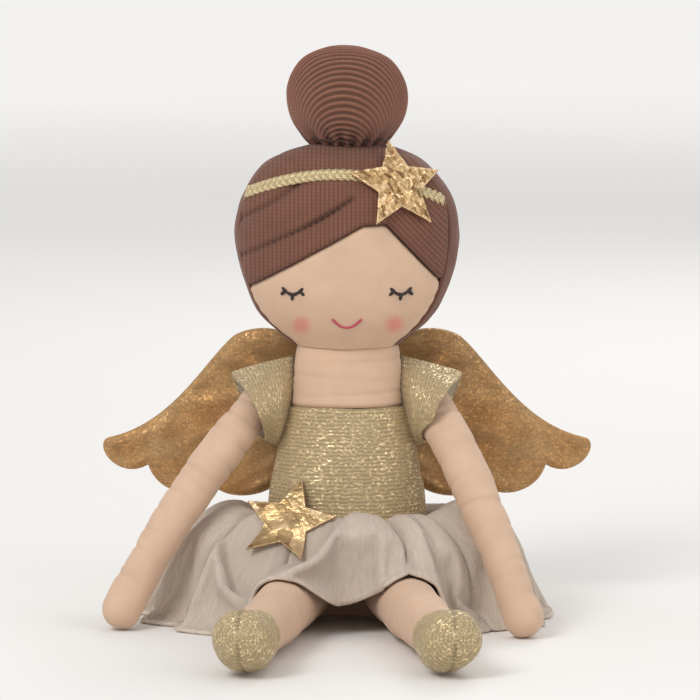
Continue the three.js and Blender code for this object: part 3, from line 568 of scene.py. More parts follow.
def ribbed_knit(name, shade, wale, groove):
    """Cotton knit: columns of V stitches one wale wide, with painted shade in the grooves between columns,
    matt with a woolly bloom. A stitch is 0.85 of a wale high. Each column's two legs lean to its middle, so
    rows run in small chevrons. Groove is how much darker the painted shade makes the grooves, from 0 to 1."""

    def pattern(node):
        """A column is a wale's fraction, its ridge falls to both sides, and stitches are a slanted sine."""
        split = node("SeparateXYZ", [node("UVMap", uv_map="cloth")])
        column = node("Math", [split.outputs["X"], wale], operation="DIVIDE")
        within = node("Math", [column], operation="FRACT")
        middle = node("Math", [within, 0.5], operation="SUBTRACT")
        away = node("Math", [middle], operation="ABSOLUTE")
        row = node("Math", [split.outputs["Y"], 0.85 * wale], operation="DIVIDE")
        lean = node("Math", [away, -1.1, row], operation="MULTIPLY_ADD")
        angle = node("Math", [lean, FULL_TURN], operation="MULTIPLY")
        leg = node("Math", [angle], operation="SINE")
        ridge = node("MapRange", [away, 0.5, 0.22, 0, 1], interpolation_type="SMOOTHSTEP")
        stitch = node("MapRange", [leg, -1, 1, 0.55, 1])
        height = node("Math", [ridge, stitch], operation="MULTIPLY")
        place = node("TexCoord").outputs["Object"]
        cloud = node("TexNoise", {"Vector": place, "Scale": 1 / (7 * MM), "Detail": 4, "Roughness": 0.65})
        tone = node("MapRange", [cloud, 0.3, 0.7, 0, 1])
        lit = node("Mix", [tone, rgba(shade, 0.96), rgba(shade, 1.18)], data_type="RGBA")
        # Painted light: ridges take the lit colour and grooves a painted shade; the darker colour is painted
        # shade in folds and seams.
        base = node("Mix", [height, rgba(shade, 1 - groove), lit], data_type="RGBA")
        return {"Base Color": base, "Fold": rgba(shade, 0.22), "Bump": (height, 0.5, 0.18 * MM)}

    plain = {"Roughness": 0.9, "Specular IOR Level": 0.2, "Sheen Weight": 0.18, "Sheen Roughness": 0.45}
    return finish_of(name, plain, pattern)


def lurex_knit(name, shade, course):
    """Lurex knit: rows of soft olive yarn with a flat gilt thread in each, so the rows read as fine level
    lines, and turns of the gilt catch the light as scattered sparks. Sparks are cells of about 0.9 by 0.5 mm,
    a little over life size, so that they show."""

    def pattern(node):
        """Rows are a sine up the cloth, swayed by noise, and sparks are the cells of highest random red."""
        uv = node("UVMap", uv_map="cloth")
        split = node("SeparateXYZ", [uv])
        sway = node("TexNoise", {"Vector": uv, "Scale": 1 / 4, "Detail": 3})
        line = node("Math", [sway, 1.3, split.outputs["Y"]], operation="MULTIPLY_ADD")
        row = node("Math", [line, FULL_TURN / course], operation="MULTIPLY")
        wave = node("Math", [row], operation="SINE")
        stretch = node("VectorMath", [uv, (1 / 1.1, 1 / 0.6, 1)], operation="MULTIPLY")
        yarn = node("TexNoise", {"Vector": stretch, "Scale": 1, "Detail": 3, "Roughness": 0.6})
        height = node("Math", [yarn, 3, wave], operation="MULTIPLY_ADD")
        tone = node("MapRange", [height, 0.2, 2.8, 0, 1])
        base = node("Mix", [tone, rgba(shade, 0.74), rgba(shade, 1.14)], data_type="RGBA")
        cell = node("TexVoronoi", {"Vector": stretch, "Scale": 1.25, "Randomness": 1})
        pick = node("SeparateColor", [cell.outputs["Color"]])
        spark = node("MapRange", [pick, 0.72, 0.95, 0, 0.85])
        # The darker colour is painted shade in folds and seams.
        return {
            "Base Color": node("Mix", [spark, base, rgba(shade, (2.0, 2.1, 2.2))], data_type="RGBA"),
            "Fold": rgba(shade, 0.25),
            "Roughness": node("MapRange", [spark, 0, 0.85, 0.72, 0.32]),
            "Metallic": node("MapRange", [spark, 0, 0.85, 0.15, 0.8]),
            "Bump": (height, 0.5, 0.08 * MM),
        }

    return finish_of(name, {"Specular IOR Level": 0.4, "Sheen Weight": 0.1}, pattern)


def crepe_gauze(name, shade):
    """Cotton gauze: an open, slightly crinkled weave, matt, with painted shade where layers lie deep in
    folds. The weave is drawn 1.05 mm wide, coarser than real thread, so that it shows."""

    def pattern(node):
        """Drawn-out noise mixes the shade, gaps between threads darken it, and both are its relief."""
        uv = node("UVMap", uv_map="cloth")
        cloth = weave_of(node, uv, 1.05)
        drawn = node("VectorMath", [uv, (1 / 1.5, 1 / 6, 1)], operation="MULTIPLY")
        slub = node("TexNoise", {"Vector": drawn, "Scale": 1, "Detail": 4, "Roughness": 0.6})
        tone = node("MapRange", [slub, 0.3, 0.7, 0, 1])
        base = node("Mix", [tone, rgba(shade, 0.88), rgba(shade, 1.1)], data_type="RGBA")
        thread = node("MapRange", [cloth, -1, 1, 0.24, 0])
        base = node("Mix", [thread, base, rgba(shade, 0.5)], data_type="RGBA")
        height = node("Math", [slub, 2, cloth], operation="MULTIPLY_ADD")
        # The darker colour is painted shade deep in folds and on the skirt's inner face.
        return {"Base Color": base, "Fold": rgba(shade, 0.36), "Bump": (height, 0.6, 0.18 * MM)}

    plain = {"Roughness": 0.88, "Specular IOR Level": 0.2, "Sheen Weight": 0.15, "Sheen Roughness": 0.5}
    return finish_of(name, plain, pattern)


def crinkled_lame(name, shade):
    """Lame: metal thread woven flat, so the cloth shines in broken flecks along the weave, and its crinkles
    are painted with dark lines of shade beside light ones. Flecks are 0.6 mm, and crinkles about 2 mm apart."""

    def pattern(node):
        """Broad noise mixes two shades, drawn-out noise paints shade in the crinkles, and random cells are
        flecks.
        """
        uv = node("UVMap", uv_map="cloth")
        drawn = node("VectorMath", [uv, (1 / 2.4, 1 / 1.2, 1)], operation="MULTIPLY")
        wrinkled = {"Vector": drawn, "Scale": 1, "Detail": 5, "Roughness": 0.68, "Distortion": 0.4}
        crinkle = node("TexNoise", wrinkled)
        cell = node("TexVoronoi", {"Vector": uv, "Scale": 1 / 0.6, "Randomness": 1})
        pick = node("SeparateColor", [cell.outputs["Color"]])
        spark = node("MapRange", [pick, 0.66, 1, 0, 0.6])
        cloud = node("TexNoise", {"Vector": uv, "Scale": 1 / 16, "Detail": 3})
        blotch = node("MapRange", [cloud, 0.35, 0.65, 0, 1])
        warm, olive = rgba(shade, (0.98, 0.86, 0.7)), rgba(shade, (1.02, 1.1, 1.12))
        base = node("Mix", [blotch, warm, olive], data_type="RGBA")
        # Painted shade in the valleys of the crinkles.
        line = node("MapRange", [crinkle, 0.32, 0.5, 0.5, 0])
        base = node("Mix", [line, base, rgba(shade, 0.4)], data_type="RGBA")
        return {
            "Base Color": node("Mix", [spark, base, rgba(shade, (1.75, 1.65, 1.5))], data_type="RGBA"),
            "Fold": rgba(shade, 0.28),
            "Roughness": node("MapRange", [spark, 0, 0.6, 0.62, 0.36]),
            "Metallic": node("MapRange", [spark, 0, 0.6, 0.4, 0.85]),
            "Bump": (crinkle, 0.5, 0.3 * MM),
        }

    return finish_of(name, {"Specular IOR Level": 0.5}, pattern)


def hammered_foil(name, shade, dent, strength):
    """Gilt foil pressed on felt: bright metal broken into small dented facets, each painted dark or bright by
    turns as a painted reflection, with a pale painted flash on the brightest, and a paler rim. Dent is a
    facet's width in millimetres."""

    def pattern(node):
        """Each cell is a facet that leans a random way, and noise plus its random blue gives its painted
        reflection.
        """
        uv = node("UVMap", uv_map="cloth")
        wrinkle = node("TexNoise", {"Vector": uv, "Scale": 0.8 / dent, "Detail": 4, "Roughness": 0.6})
        bent = node("VectorMath", [uv, wrinkle.outputs["Color"]], operation="ADD")
        cell = node("TexVoronoi", {"Vector": bent, "Scale": 1 / dent, "Randomness": 1})
        lean = node("VectorMath", [cell.outputs["Color"], (0.5, 0.5, 0.5)], operation="SUBTRACT")
        within = node("VectorMath", [bent, cell.outputs["Position"]], operation="SUBTRACT")
        facet = node("VectorMath", [lean, within], operation="DOT_PRODUCT")
        height = node("Math", [wrinkle, 0.8 * dent, facet], operation="MULTIPLY_ADD")
        pick = node("SeparateColor", [cell.outputs["Color"]])
        mixed = node("Math", [wrinkle, 1.3, pick.outputs["Blue"]], operation="MULTIPLY_ADD")
        tone = node("MapRange", [mixed, 0.55, 1.45, 0, 1])
        # Painted reflections: each facet's tone runs from dark to bright, and the brightest flash pale; pale
        # is also the rim's colour.
        dark, pale = rgba(shade, (0.42, 0.34, 0.24)), rgba(shade, (1.35, 1.4, 1.6))
        base = node("Mix", [tone, dark, rgba(shade, 1.25)], data_type="RGBA")
        painted_flash = node("MapRange", [mixed, 1.25, 1.5, 0, 0.8])
        return {
            "Base Color": node("Mix", [painted_flash, base, pale], data_type="RGBA"),
            "Fold": pale,
            "Roughness": node("MapRange", [wrinkle, 0.3, 0.7, 0.2, 0.42]),
            "Bump": (height, strength, MM),
        }

    return finish_of(name, {"Metallic": 1.0}, pattern)


def twisted_thread(name, shade, twist, metallic=0.0):
    """Twisted thread: fine plies that wind round it, so light runs along it in short slanted dashes. Twist is
    the distance between plies in millimetres. Metal thread shines, and cotton floss has a silky bloom."""

    def pattern(node):
        """Plies are a sine along the slant, roughened by noise."""
        uv = node("UVMap", uv_map="cloth")
        split = node("SeparateXYZ", [uv])
        slant = node("Math", [split.outputs["X"], split.outputs["Y"]], operation="ADD")
        angle = node("Math", [slant, FULL_TURN / twist], operation="MULTIPLY")
        ply = node("Math", [angle], operation="SINE")
        fibre = node("TexNoise", {"Vector": uv, "Scale": 2 / twist, "Detail": 2})
        height = node("Math", [fibre, 0.8, ply], operation="MULTIPLY_ADD")
        tone = node("MapRange", [height, -0.7, 1.4, 0, 1])
        base = node("Mix", [tone, rgba(shade, 0.55), rgba(shade, 1.15)], data_type="RGBA")
        return {"Base Color": base, "Bump": (height, 0.5, 0.12 * MM)}

    roughness, bloom = (0.42, 0.0) if metallic else (0.62, 0.05)
    return finish_of(name, {"Roughness": roughness, "Metallic": metallic, "Sheen Weight": bloom}, pattern)


def studio_paper(name):
    """Plain studio paper: matt and pale, with a faint cloud, and lit more far off so that it stays even to
    the eye."""

    def pattern(node):
        """Soft noise mixes two near shades, and the glow rises with the distance from the middle."""
        place = node("TexCoord").outputs["Object"]
        cloud = node("TexNoise", {"Vector": place, "Scale": 2, "Detail": 1})
        tone = node("Mix", [cloud, rgba(linear("#e9e7e4")), rgba(linear("#edebe8"))], data_type="RGBA")
        far = node("VectorMath", [place], operation="LENGTH")
        glow = node("MapRange", [far, 0.4, 4, 0, 0.32], interpolation_type="SMOOTHSTEP")
        return {"Base Color": tone, "Emission Strength": glow}

    plain = {"Roughness": 0.95, "Specular IOR Level": 0.1, "Emission Color": rgba(linear("#ffffff"))}
    return finish_of(name, plain, pattern)


# Head


def hairline(x):
    """Height of the hairline across the face: a straight strand up from each temple to a narrow parting."""
    return np.interp(x, HAIRLINE_X, HAIRLINE_Z)


def strand_relief(x, z, depth):
    """The sewn strands: the cloth sinks along each seam by a bell curve and swells again within 5 mm of
    it."""
    away = np.stack([off_line(np.stack([x, z], -1), line)[0] for line in STRAND_SEAMS])
    sunk = bell(away, 0.95).max(0)
    swell = 1 - bell(away.min(0), 5)
    return depth * (0.6 * swell - 1.1 * sunk), sunk


def head_panel(shares, turns):
    """Points of the head at shares of its outline's length, lip included, and turns round it. Also gives how
    far each point is from the nearer side of the panel, and a share that falls to 0 at the crown, where all
    columns meet."""
    half, z = (np.interp(shares * HEAD_RUN[-1], HEAD_RUN, column) for column in HEAD_LINE.T)
    x, y, z = np.broadcast_arrays(half * np.sin(turns), -HEAD_RATIO * half * np.cos(turns), z)
    points = np.stack([x, y, z], axis=-1)
    half = half_at(HEAD_SIDE, z)
    return points, np.minimum(turns - turns[0], turns[-1] - turns) * half, ease(half, 6, 14)


def hairline_share(turns):
    """At each turn, the share of the outline's length where it crosses the hairline: the first point above
    it."""
    shares = np.linspace(0.12, 1, 1500)[:, None]
    points = head_panel(shares, turns)[0]
    above = points[..., 2] > hairline(points[..., 0])
    return shares[np.argmax(above, axis=0), 0]


def sewn_edge(away, depth, width=0.8):
    """How far a panel's edge rolls in at a distance from its seam: a bell curve."""
    return -depth * bell(away, width)


class ANGEL_OT_head(bpy.types.Operator):
    """Sews the face, the hair in front and the back of the head, each a panel of one smooth oval"""

    bl_idname = "angel.head"
    bl_label = "Head"

    def execute(self, context):
        """Each panel rolls in at its seams by bell curves and swells by soft noise. The front hair stands a
        little over the face and sinks along its sewn strands."""
        sizes, colours = context.scene.angel_sizes, context.scene.angel_colours
        cotton = woven_cotton("woven_cotton_face", colours.skin, colours.blush)
        knit = ribbed_knit("ribbed_knit_hair", colours.hair, sizes.wale / MM, 0.38)
        depth = sizes.seam_depth / MM
        left, right = HEAD_SEAMS
        turns = np.linspace(left, right, 230)
        top = smoothed(hairline_share(turns))

        rows = np.linspace(0, 1, 170)[:, None]
        points, to_side, _ = head_panel(rows * top, turns)
        to_line = (top - rows * top) * HEAD_RUN[-1]
        roll = sewn_edge(to_line, depth) + sewn_edge(to_side, depth)
        pucker = 0.14 * np.cos(points[..., 2] * 1.7) * np.exp(-to_side / 3)
        swell = 0.35 * lumps(points, 26, 3) + 0.1 * lumps(points, 9, 4)
        shape = raised(points, roll + pucker + swell, facing(points))
        # Painted shade along the hairline and side seams.
        fold = np.clip(bell(to_line, 0.5) + bell(to_side, 0.5), 0, 0.8)
        face = make_piece("face", [patch(shape, fold, shape[..., [0, 2]])], cotton)
        stands_for(face, "head", "skin_cotton", "face_panel", "head_stuffing")

        rows = np.linspace(0, 1, 200)[:, None]
        points, to_side, near_crown = head_panel(top + rows * (1 - top), turns)
        to_line = rows * (1 - top) * HEAD_RUN[-1]
        relief, sunk = strand_relief(points[..., 0], points[..., 2], 0.8)
        sunk = sunk * ease(to_side, 0.5, 4)
        roll = sewn_edge(to_line, depth) + sewn_edge(to_side, depth) * near_crown
        proud = 0.35 * ease(to_line, 0.4, 2.5) * near_crown
        swell = (0.35 * lumps(points, 24, 5) + 0.1 * lumps(points, 8, 6)) * near_crown
        shape = raised(points, roll + proud + swell + relief * near_crown, facing(points))
        # Painted shade along the hairline, the side seams and the sewn strands.
        fold = np.clip(bell(to_line, 0.5) + 0.8 * bell(to_side, 0.6) + 0.32 * sunk, 0, 0.9)
        x, z = shape[..., 0], shape[..., 2]
        slant, parting_z = 0.75 * (x > HAIRLINE_X[2]), 130
        across, along = np.cos(slant), np.sin(slant)
        uv = np.stack([x * across + (z - parting_z) * along, z * across - x * along], axis=-1)
        hair = make_piece("hair_in_front", [patch(shape, fold, uv)], knit)
        stands_for(hair, "head", "hair_knit", "hair_front")

        turns = np.linspace(right, left + FULL_TURN, 260)
        points, to_side, near_crown = head_panel(rows, turns)
        swell = 0.45 * lumps(points, 28, 7) + 0.12 * lumps(points, 9, 8)
        shape = raised(points, (sewn_edge(to_side, depth) + swell) * near_crown, facing(points))
        # Painted shade along the side seams.
        fold = np.clip(0.8 * bell(to_side, 0.6), 0, 0.8)
        mean_half = 31
        uv = np.stack(np.broadcast_arrays((turns - np.pi) * mean_half, rows * HEAD_RUN[-1]), axis=-1)
        back = make_piece("hair_behind", [patch(shape, fold, uv)], knit)
        stands_for(back, "head", "hair_knit", "hair_back")
        return {"FINISHED"}


class ANGEL_OT_bun(bpy.types.Operator):
    """Gathers the bun: a circle of ribbed knit drawn over a ball, tied at its foot with thread"""

    bl_idname = "angel.bun"
    bl_label = "Bun"

    def execute(self, context):
        """On the flat circle the ribs lie level: a point at an arc from the top and a turn from the front was
        arc · cos(turn) in front of the middle, so ribs are the waves of that, and become nested arches. They
        fade where the gathers crowd them. The tie is two plies that wind round each other."""
        sizes, colours = context.scene.angel_sizes, context.scene.angel_colours
        # The bun's knit is a lit copy of the hair's colour, 1.45 times as bright: painted light, which also
        # makes up for the painted shade in its grooves and gathers.
        knit = ribbed_knit("ribbed_knit_bun", rgba(colours.hair, 1.45)[:3], 1.05, 0.16)
        pleats, windings = 17, 18
        side = spline(BUN_LOWER + BUN_UPPER, 190) + (0, BUN_FOOT_Z)
        turns = turns_round(430)
        points = turned(side, 1.0, turns)
        arc = run_along(side[::-1])[::-1, None]
        lean = turns + 0.06
        ahead, aside = arc * np.cos(lean), arc * np.sin(lean)
        half = np.maximum(side[:, :1], 0.5)
        crowding = np.hypot(np.cos(lean), arc / half * np.sin(lean))
        wave = (0.5 + 0.5 * np.cos(FULL_TURN * ahead / (sizes.rib_pitch / MM))) ** 1.8
        strength = 1 / np.maximum(crowding, 1) ** 1.3
        gather = ease(arc, 36, 50)
        pleat = 0.5 + 0.5 * np.cos(pleats * turns + 1.3 * np.sin(3 * turns))
        ribs = sizes.rib_depth / MM * (wave - 0.4) * strength
        relief = ribs - 1.5 * gather * (1 - pleat) + 0.5 * lumps(points, 22, 11)
        shape = raised(points, relief * ease(half, 0, 3), facing_round(points))
        # Painted shade in the grooves between ribs and in the puckers of the gathered foot.
        fold = np.clip(0.8 * (1 - wave) * strength + 0.9 * gather * (1 - pleat), 0, 0.95)
        bun = make_piece("bun", [patch(shape, fold, np.stack([aside, ahead], axis=-1))], knit)
        stands_for(bun, "head", "hair_knit", "bun_cover", "bun_stuffing")

        floss = twisted_thread("cotton_floss_brown", colours.brown_thread, 0.9)
        a = turns_round(180)
        plies = []
        for start in (0, np.pi):
            twist = windings * a + start
            reach = half_at(side, TIE_Z) - 0.35 + 0.25 * np.cos(twist)
            path = np.stack([reach * np.sin(a), -reach * np.cos(a), TIE_Z + 0.25 * np.sin(twist)], axis=-1)
            plies.append(patch(swept(path, 0.3, (0, 0, 1), 8)[1:-1]))
        stands_for(make_piece("bun_thread", plies, floss), "head", "brown_thread", "bun_tie")
        return {"FINISHED"}


class ANGEL_OT_strand_stitches(bpy.types.Operator):
    """Sews the row of dark stitches along the main strand of the hair"""

    bl_idname = "angel.strand_stitches"
    bl_label = "Strand stitches"

    def execute(self, context):
        """The seam's line is cut into stitches of 12 steps, and the middle 7 steps of each carry a short
        round thread, sunk at both ends by a parabola."""
        floss = twisted_thread("cotton_floss_brown", context.scene.angel_colours.brown_thread, 0.9)
        count, steps = 20, 12
        line = even(STRAND_SEAMS[0], count * steps + 1)[:-1].reshape(count, steps, 2)[:, 2:9]
        lift = np.broadcast_to(-0.32 - 0.5 * np.linspace(-1, 1, 7) ** 2, line.shape[:2])
        paths = on_head(line[..., 0], line[..., 1], lift)
        ups = on_head(line[..., 0], line[..., 1], lift + 1) - paths
        threads = [patch(swept(path, 0.3, up, 8)) for path, up in zip(paths, ups)]
        stands_for(make_piece("strand_stitches", threads, floss), "head", "brown_thread")
        return {"FINISHED"}


class ANGEL_OT_headband(bpy.types.Operator):
    """Plaits the braid round the head from three flat gilt strands, its ends sewn into the side seams"""

    bl_idname = "angel.headband"
    bl_label = "Headband"

    def execute(self, context):
        """The band's middle is a parabola across the front of the head. Strand k runs along it and sways
        across it by sin(phase + 2πk/3); it passes over the next one where sin(2 · that phase) is high."""
        sizes, colours = context.scene.angel_sizes, context.scene.angel_colours
        gilt = twisted_thread("gilt_braid", colours.braid, 0.8, metallic=0.55)
        plait, strand_half = 6.6, 0.98
        x = np.linspace(-36, 36, 750)
        z = BAND_TOP_Z - BAND_FALL * ((x - BAND_TOP_X) / BAND_SPAN) ** 2
        turn = np.arcsin(np.clip(x / half_at(HEAD_SIDE, z), -1, 1))
        between = (turn > HEAD_SEAMS[0]) & (turn < HEAD_SEAMS[1])
        x, z = x[between], z[between]
        middle = on_head(x, z, np.zeros_like(x))
        up = on_head(x, z, np.ones_like(x)) - middle
        run = run_along(middle)
        across = np.cross(up, unit(np.gradient(middle, axis=0)))
        tucked = 1.4 * (1 - ease(np.minimum(run, run[-1] - run), 0, 3))
        strands = []
        for k in range(3):
            phase = FULL_TURN * (run / plait + k / 3)
            sway = (sizes.braid_width / MM / 2 - 0.85) * np.sin(phase)
            lift = 1.0 + 0.42 * np.sin(2 * phase) - tucked
            path = middle + sway[:, None] * across + lift[:, None] * up
            strands.append(patch(swept(path, strand_half, up, 10, flat=0.55)))
        stands_for(make_piece("braid_round_the_head", strands, gilt), "head", "braid_trim", "headband")
        return {"FINISHED"}


def star_frame(node):
    """Middle, across, up and outward directions of a star's solid: outward is where its points spread least,
    and up runs to its topmost tip."""
    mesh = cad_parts[node].data
    corners = np.zeros(3 * len(mesh.vertices), np.float32)
    mesh.vertices.foreach_get("co", corners)
    corners = np.unique(np.round(corners.reshape(-1, 3) / MM, 2), axis=0).astype(float)
    middle = corners.mean(0)
    flat = corners - middle
    out = np.linalg.eigh(np.cov(flat.T))[1][:, 0]
    out *= -np.sign(out[1])
    flat -= np.outer(flat @ out, out)
    tips = flat[np.linalg.norm(flat, axis=1) > 0.9 * STAR_RADIUS]
    up = tips[np.argmax(tips[:, 2])]
    up /= np.linalg.norm(up)
    return middle, np.cross(up, out), up, out


def star_patch(node, relief, seed, curl, bend):
    """A foil star: its ten-cornered edge drawn in to the middle ring by ring, dented in front, flat behind.
    Curl is how far its tips lean back to what carries it, as a parabola, and bend how far its foot turns out,
    as another."""
    middle, across, up, out = star_frame(node)
    corner = np.arange(11)
    turn = np.pi / 5 * corner
    reach = np.where(corner % 2, STAR_INNER, 1.0) * STAR_RADIUS
    corners = np.stack([-reach * np.sin(turn), reach * np.cos(turn)], axis=-1)
    edge = np.stack([np.interp(np.arange(201) / 20, corner, c) for c in corners.T], axis=-1)
    front, back = np.linspace(0, 1, 42), np.linspace(0.97, 0, 12)
    share = np.concatenate([front, [1.012, 1.012, 1.0], back])[:, None]
    level = np.concatenate([np.full(len(front), 0.5), [0.25, -0.25, -0.5], np.full(len(back), -0.5)])
    level = level[:, None] * STAR_THICKNESS
    in_front = level == 0.5 * STAR_THICKNESS
    flat = share[..., None] * edge
    place = np.concatenate([flat, np.zeros(flat.shape[:2])[..., None]], axis=-1)
    dents = np.abs(lumps(place, 4.2, seed)) - 0.45 + 0.5 * lumps(place, 2.1, seed + 1)
    rise = level + relief * dents * in_front * (1 - 0.6 * share**6)
    rise = rise + 0.5 * relief * lumps(place, 12, seed + 2)
    rise = rise - curl * (np.linalg.norm(flat, axis=-1) / STAR_RADIUS) ** 2
    rise = rise + bend * (np.maximum(-3 - flat[..., 1], 0) / 10) ** 2
    points = middle + flat[..., :1] * across + flat[..., 1:] * up + rise[..., None] * out
    on_edge = np.arange(len(share))[:, None] < len(front) + 4
    # A paler rim: up to 0.85 of the way to the foil's pale colour near the edge.
    paler_rim = 0.85 * np.clip((share - 0.93) / 0.05, 0, 1) * on_edge
    return patch(points[:, ::-1], paler_rim, flat[:, ::-1])


class ANGEL_OT_stars(bpy.types.Operator):
    """Cuts the two foil stars: one over the braid in the hair, one over the waist"""

    bl_idname = "angel.stars"
    bl_label = "Stars"

    def execute(self, context):
        """Each star lies in its solid's own plane. Its flat area is that of ten triangles about its
        middle."""
        sizes, colours = context.scene.angel_sizes, context.scene.angel_colours
        relief = sizes.foil_relief / MM
        hammered = hammered_foil("hammered_gilt_foil", colours.foil, 1.7, 0.9)
        # The waist's star is the same foil painted 0.7 as bright: painted shade.
        smoother = hammered_foil("pressed_gilt_foil", rgba(colours.foil, 0.7)[:3], 6.5, 0.22)
        for name, node, body, under, foil, depth, seed, curl, bend in (
            ("star_in_the_hair", "hair_star", "head", "headband", hammered, relief, 21, 1.6, 0.0),
            ("star_at_the_waist", "belt_star", "torso", "bodice", smoother, 0.15 * relief, 25, 0.6, 3.2),
        ):
            star = make_piece(name, [star_patch(node, depth, seed, curl, bend)], foil)
            stands_for(star, body, "star_foil", node)
        return {"FINISHED"}


def stitched(x, z, radius, count):
    """A thread laid on the face along a line of places, pinched between its stitches and round at its
    ends."""
    lift = 0.38
    path = on_head(x, z, np.full(len(x), lift))
    up = on_head(x, z, np.full(len(x), lift + 1)) - path
    share = np.linspace(0, 1, len(x))
    pinch = 0.78 + 0.22 * np.abs(np.sin(np.pi * count * share)) ** 0.6
    from_end = np.minimum(np.minimum(share, 1 - share) * count * 3, 1)
    end = np.sqrt(np.clip(1 - (1 - from_end) ** 2, 0.02, 1))
    return patch(swept(path, radius * pinch * end, up, 10, flat=0.7))


class ANGEL_OT_face_stitches(bpy.types.Operator):
    """Embroiders the closed eyes with their lashes, and the mouth"""

    bl_idname = "angel.face_stitches"
    bl_label = "Face stitches"

    def execute(self, context):
        """Eye and mouth are parabolas across the face, and lashes straight lines down from the eye's, in
        threads that narrow a little between stitches."""
        sizes, colours = context.scene.angel_sizes, context.scene.angel_colours
        dark = twisted_thread("cotton_floss_dark", colours.dark_thread, 0.7)
        pink = twisted_thread("cotton_floss_pink", colours.pink_thread, 0.7)
        radius = sizes.thread / MM / 2
        t = np.linspace(-0.5, 0.5, 61)

        def lid(share):
            """The height of the eye's line, a parabola, at a share of its width from its middle."""
            return CHIN_Z + EYE_HEIGHT + EYE_DROP * (4 * share * share - 0.5)

        for name, side in SIDES.items():
            middle = side * EYE_X
            threads = [stitched(middle + EYE_WIDTH * t, lid(t), radius, 4)]
            for start, lean in LASHES:
                run = LASH_LENGTH * (t + 0.5)
                x, z = middle + EYE_WIDTH * start + lean * run, lid(start) - math.sqrt(1 - lean**2) * run
                threads.append(stitched(x, z, radius, 1))
            eye = make_piece(f"{name}_closed_eye", threads, dark)
            stands_for(eye, "head", "dark_thread", f"{name}_eye")
        smile = CHIN_Z + MOUTH_HEIGHT + MOUTH_DROP * (4 * t * t - 0.5)
        mouth = make_piece("smile", [stitched(MOUTH_WIDTH * t, smile, 0.78 * radius, 5)], pink)
        stands_for(mouth, "head", "pink_thread", "mouth")
        return {"FINISHED"}


# Body


def body_panel(low, high, count):
    """The body's outline between two heights, carried round its oval, with the turns round it."""
    z = np.linspace(low, high, count)
    turns = turns_round(240)
    return turned(np.stack([half_at(BODY_SIDE, z), z], axis=-1), BODY_RATIO, turns), turns


class ANGEL_OT_body(bpy.types.Operator):
    """Sews the neck, bodice and seat as three panels of one stuffed oval body"""

    bl_idname = "angel.body"
    bl_label = "Body"

    def execute(self, context):
        """The body's outline is turned about an upright oval. Its panels roll in at the seams, the neck
        closes in a dome under the head, and the seat's front draws back behind the thighs' bend."""
        sizes, colours = context.scene.angel_sizes, context.scene.angel_colours
        cotton = woven_cotton("woven_cotton", colours.skin)
        lurex = lurex_knit("lurex_knit", colours.lurex, sizes.course / MM)
        depth = sizes.seam_depth / MM

        neck_top = CHIN_Z - 0.3
        points, turns = body_panel(NECKLINE_Z, neck_top, 90)
        z = points[..., 2]
        crease = np.zeros_like(z)
        for height, tilt, width in NECK_CREASES:
            line = height + tilt * np.sin(turns)
            crease += bell(z - line, width) * (0.55 + 0.45 * np.cos(turns - tilt))
        roll = sewn_edge(z - NECKLINE_Z, 0.6 * depth) - 0.22 * crease + 0.25 * lumps(points, 18, 31)
        rise = np.linspace(0.1, np.pi / 2, 20)
        dome = np.stack([DOME_HALF * np.cos(rise), neck_top + DOME_RISE * np.sin(rise)], axis=-1)
        neck = raised(points, roll, facing_round(points))
        neck = np.concatenate([neck, turned(dome, BODY_RATIO, turns)])
        # Painted shade along the neckline seam, and a little in the neck's creases.
        fold = np.clip(0.85 * bell(neck[..., 2] - NECKLINE_Z, 0.45), 0, 1)
        fold[: len(crease)] += 0.1 * np.clip(crease, 0, 1)
        piece = make_piece("neck", [patch(neck, fold)], cotton)
        stands_for(piece, "torso", "skin_cotton", "neck_panel")

        points, _ = body_panel(WAIST_Z, NECKLINE_Z, 130)
        z = points[..., 2]
        roll = sewn_edge(NECKLINE_Z - z, 0.55 * depth, 0.5) + sewn_edge(z - WAIST_Z, depth, 1.4)
        swell = 0.45 * lumps(points, 22, 33) + 0.12 * lumps(points, 7, 34)
        proud = 0.25 * ease(NECKLINE_Z - z, 0.3, 1.5)
        shape = raised(points, roll + swell + proud, facing_round(points))
        # Painted shade along the neckline and waist seams.
        fold = np.clip(0.8 * bell(NECKLINE_Z - z, 0.35) + 0.8 * bell(z - WAIST_Z, 1.5), 0, 0.9)
        piece = make_piece("stuffed_bodice", [patch(shape, fold)], lurex)
        stands_for(piece, "torso", "dress_lurex", "bodice", "body_stuffing")

        points, turns = body_panel(0.0, WAIST_Z, 80)
        share = np.linspace(0, 1, 24)
        sole = np.stack([share**0.6 * (BODY_SIDE[0, 0] - 0.8), 0.25 * share**4], axis=-1)
        points = np.concatenate([turned(sole, BODY_RATIO, turns), points[1:]])
        x, y, z = np.moveaxis(points, -1, 0)
        thigh = 10.2
        bend = np.sqrt(np.maximum(thigh**2 - np.maximum(z - HIP[2], 0) ** 2, 0))
        clear = np.where(z < HIP[2] + thigh, HIP[1] + bend, -np.inf)
        points = np.stack([x, np.maximum(y, clear), z + 0.05], axis=-1)
        piece = make_piece("seat", [patch(points)], cotton)
        stands_for(piece, "torso", "skin_cotton", "seat_panel")
        return {"FINISHED"}


def limb_creases(run, a, low, high, spacing, seed):
    """Creases across a limb: bell-shaped grooves at seeded distances, slanted and deepest on one side
    each."""
    seeded = np.random.default_rng(seed)
    at = np.arange(low, high, spacing)
    at = at + seeded.uniform(-0.35, 0.35, len(at)) * spacing
    side, tilt = seeded.uniform(0, FULL_TURN, at.shape), seeded.uniform(-1.6, 1.6, at.shape)
    width, deep = seeded.uniform(0.7, 1.5, at.shape), seeded.uniform(0.4, 1.0, at.shape)
    turn = a[..., None] - side
    away = run[..., None] - at - tilt * np.sin(turn)
    return (deep * bell(away, width) * (0.5 + 0.5 * np.cos(turn))).sum(-1)


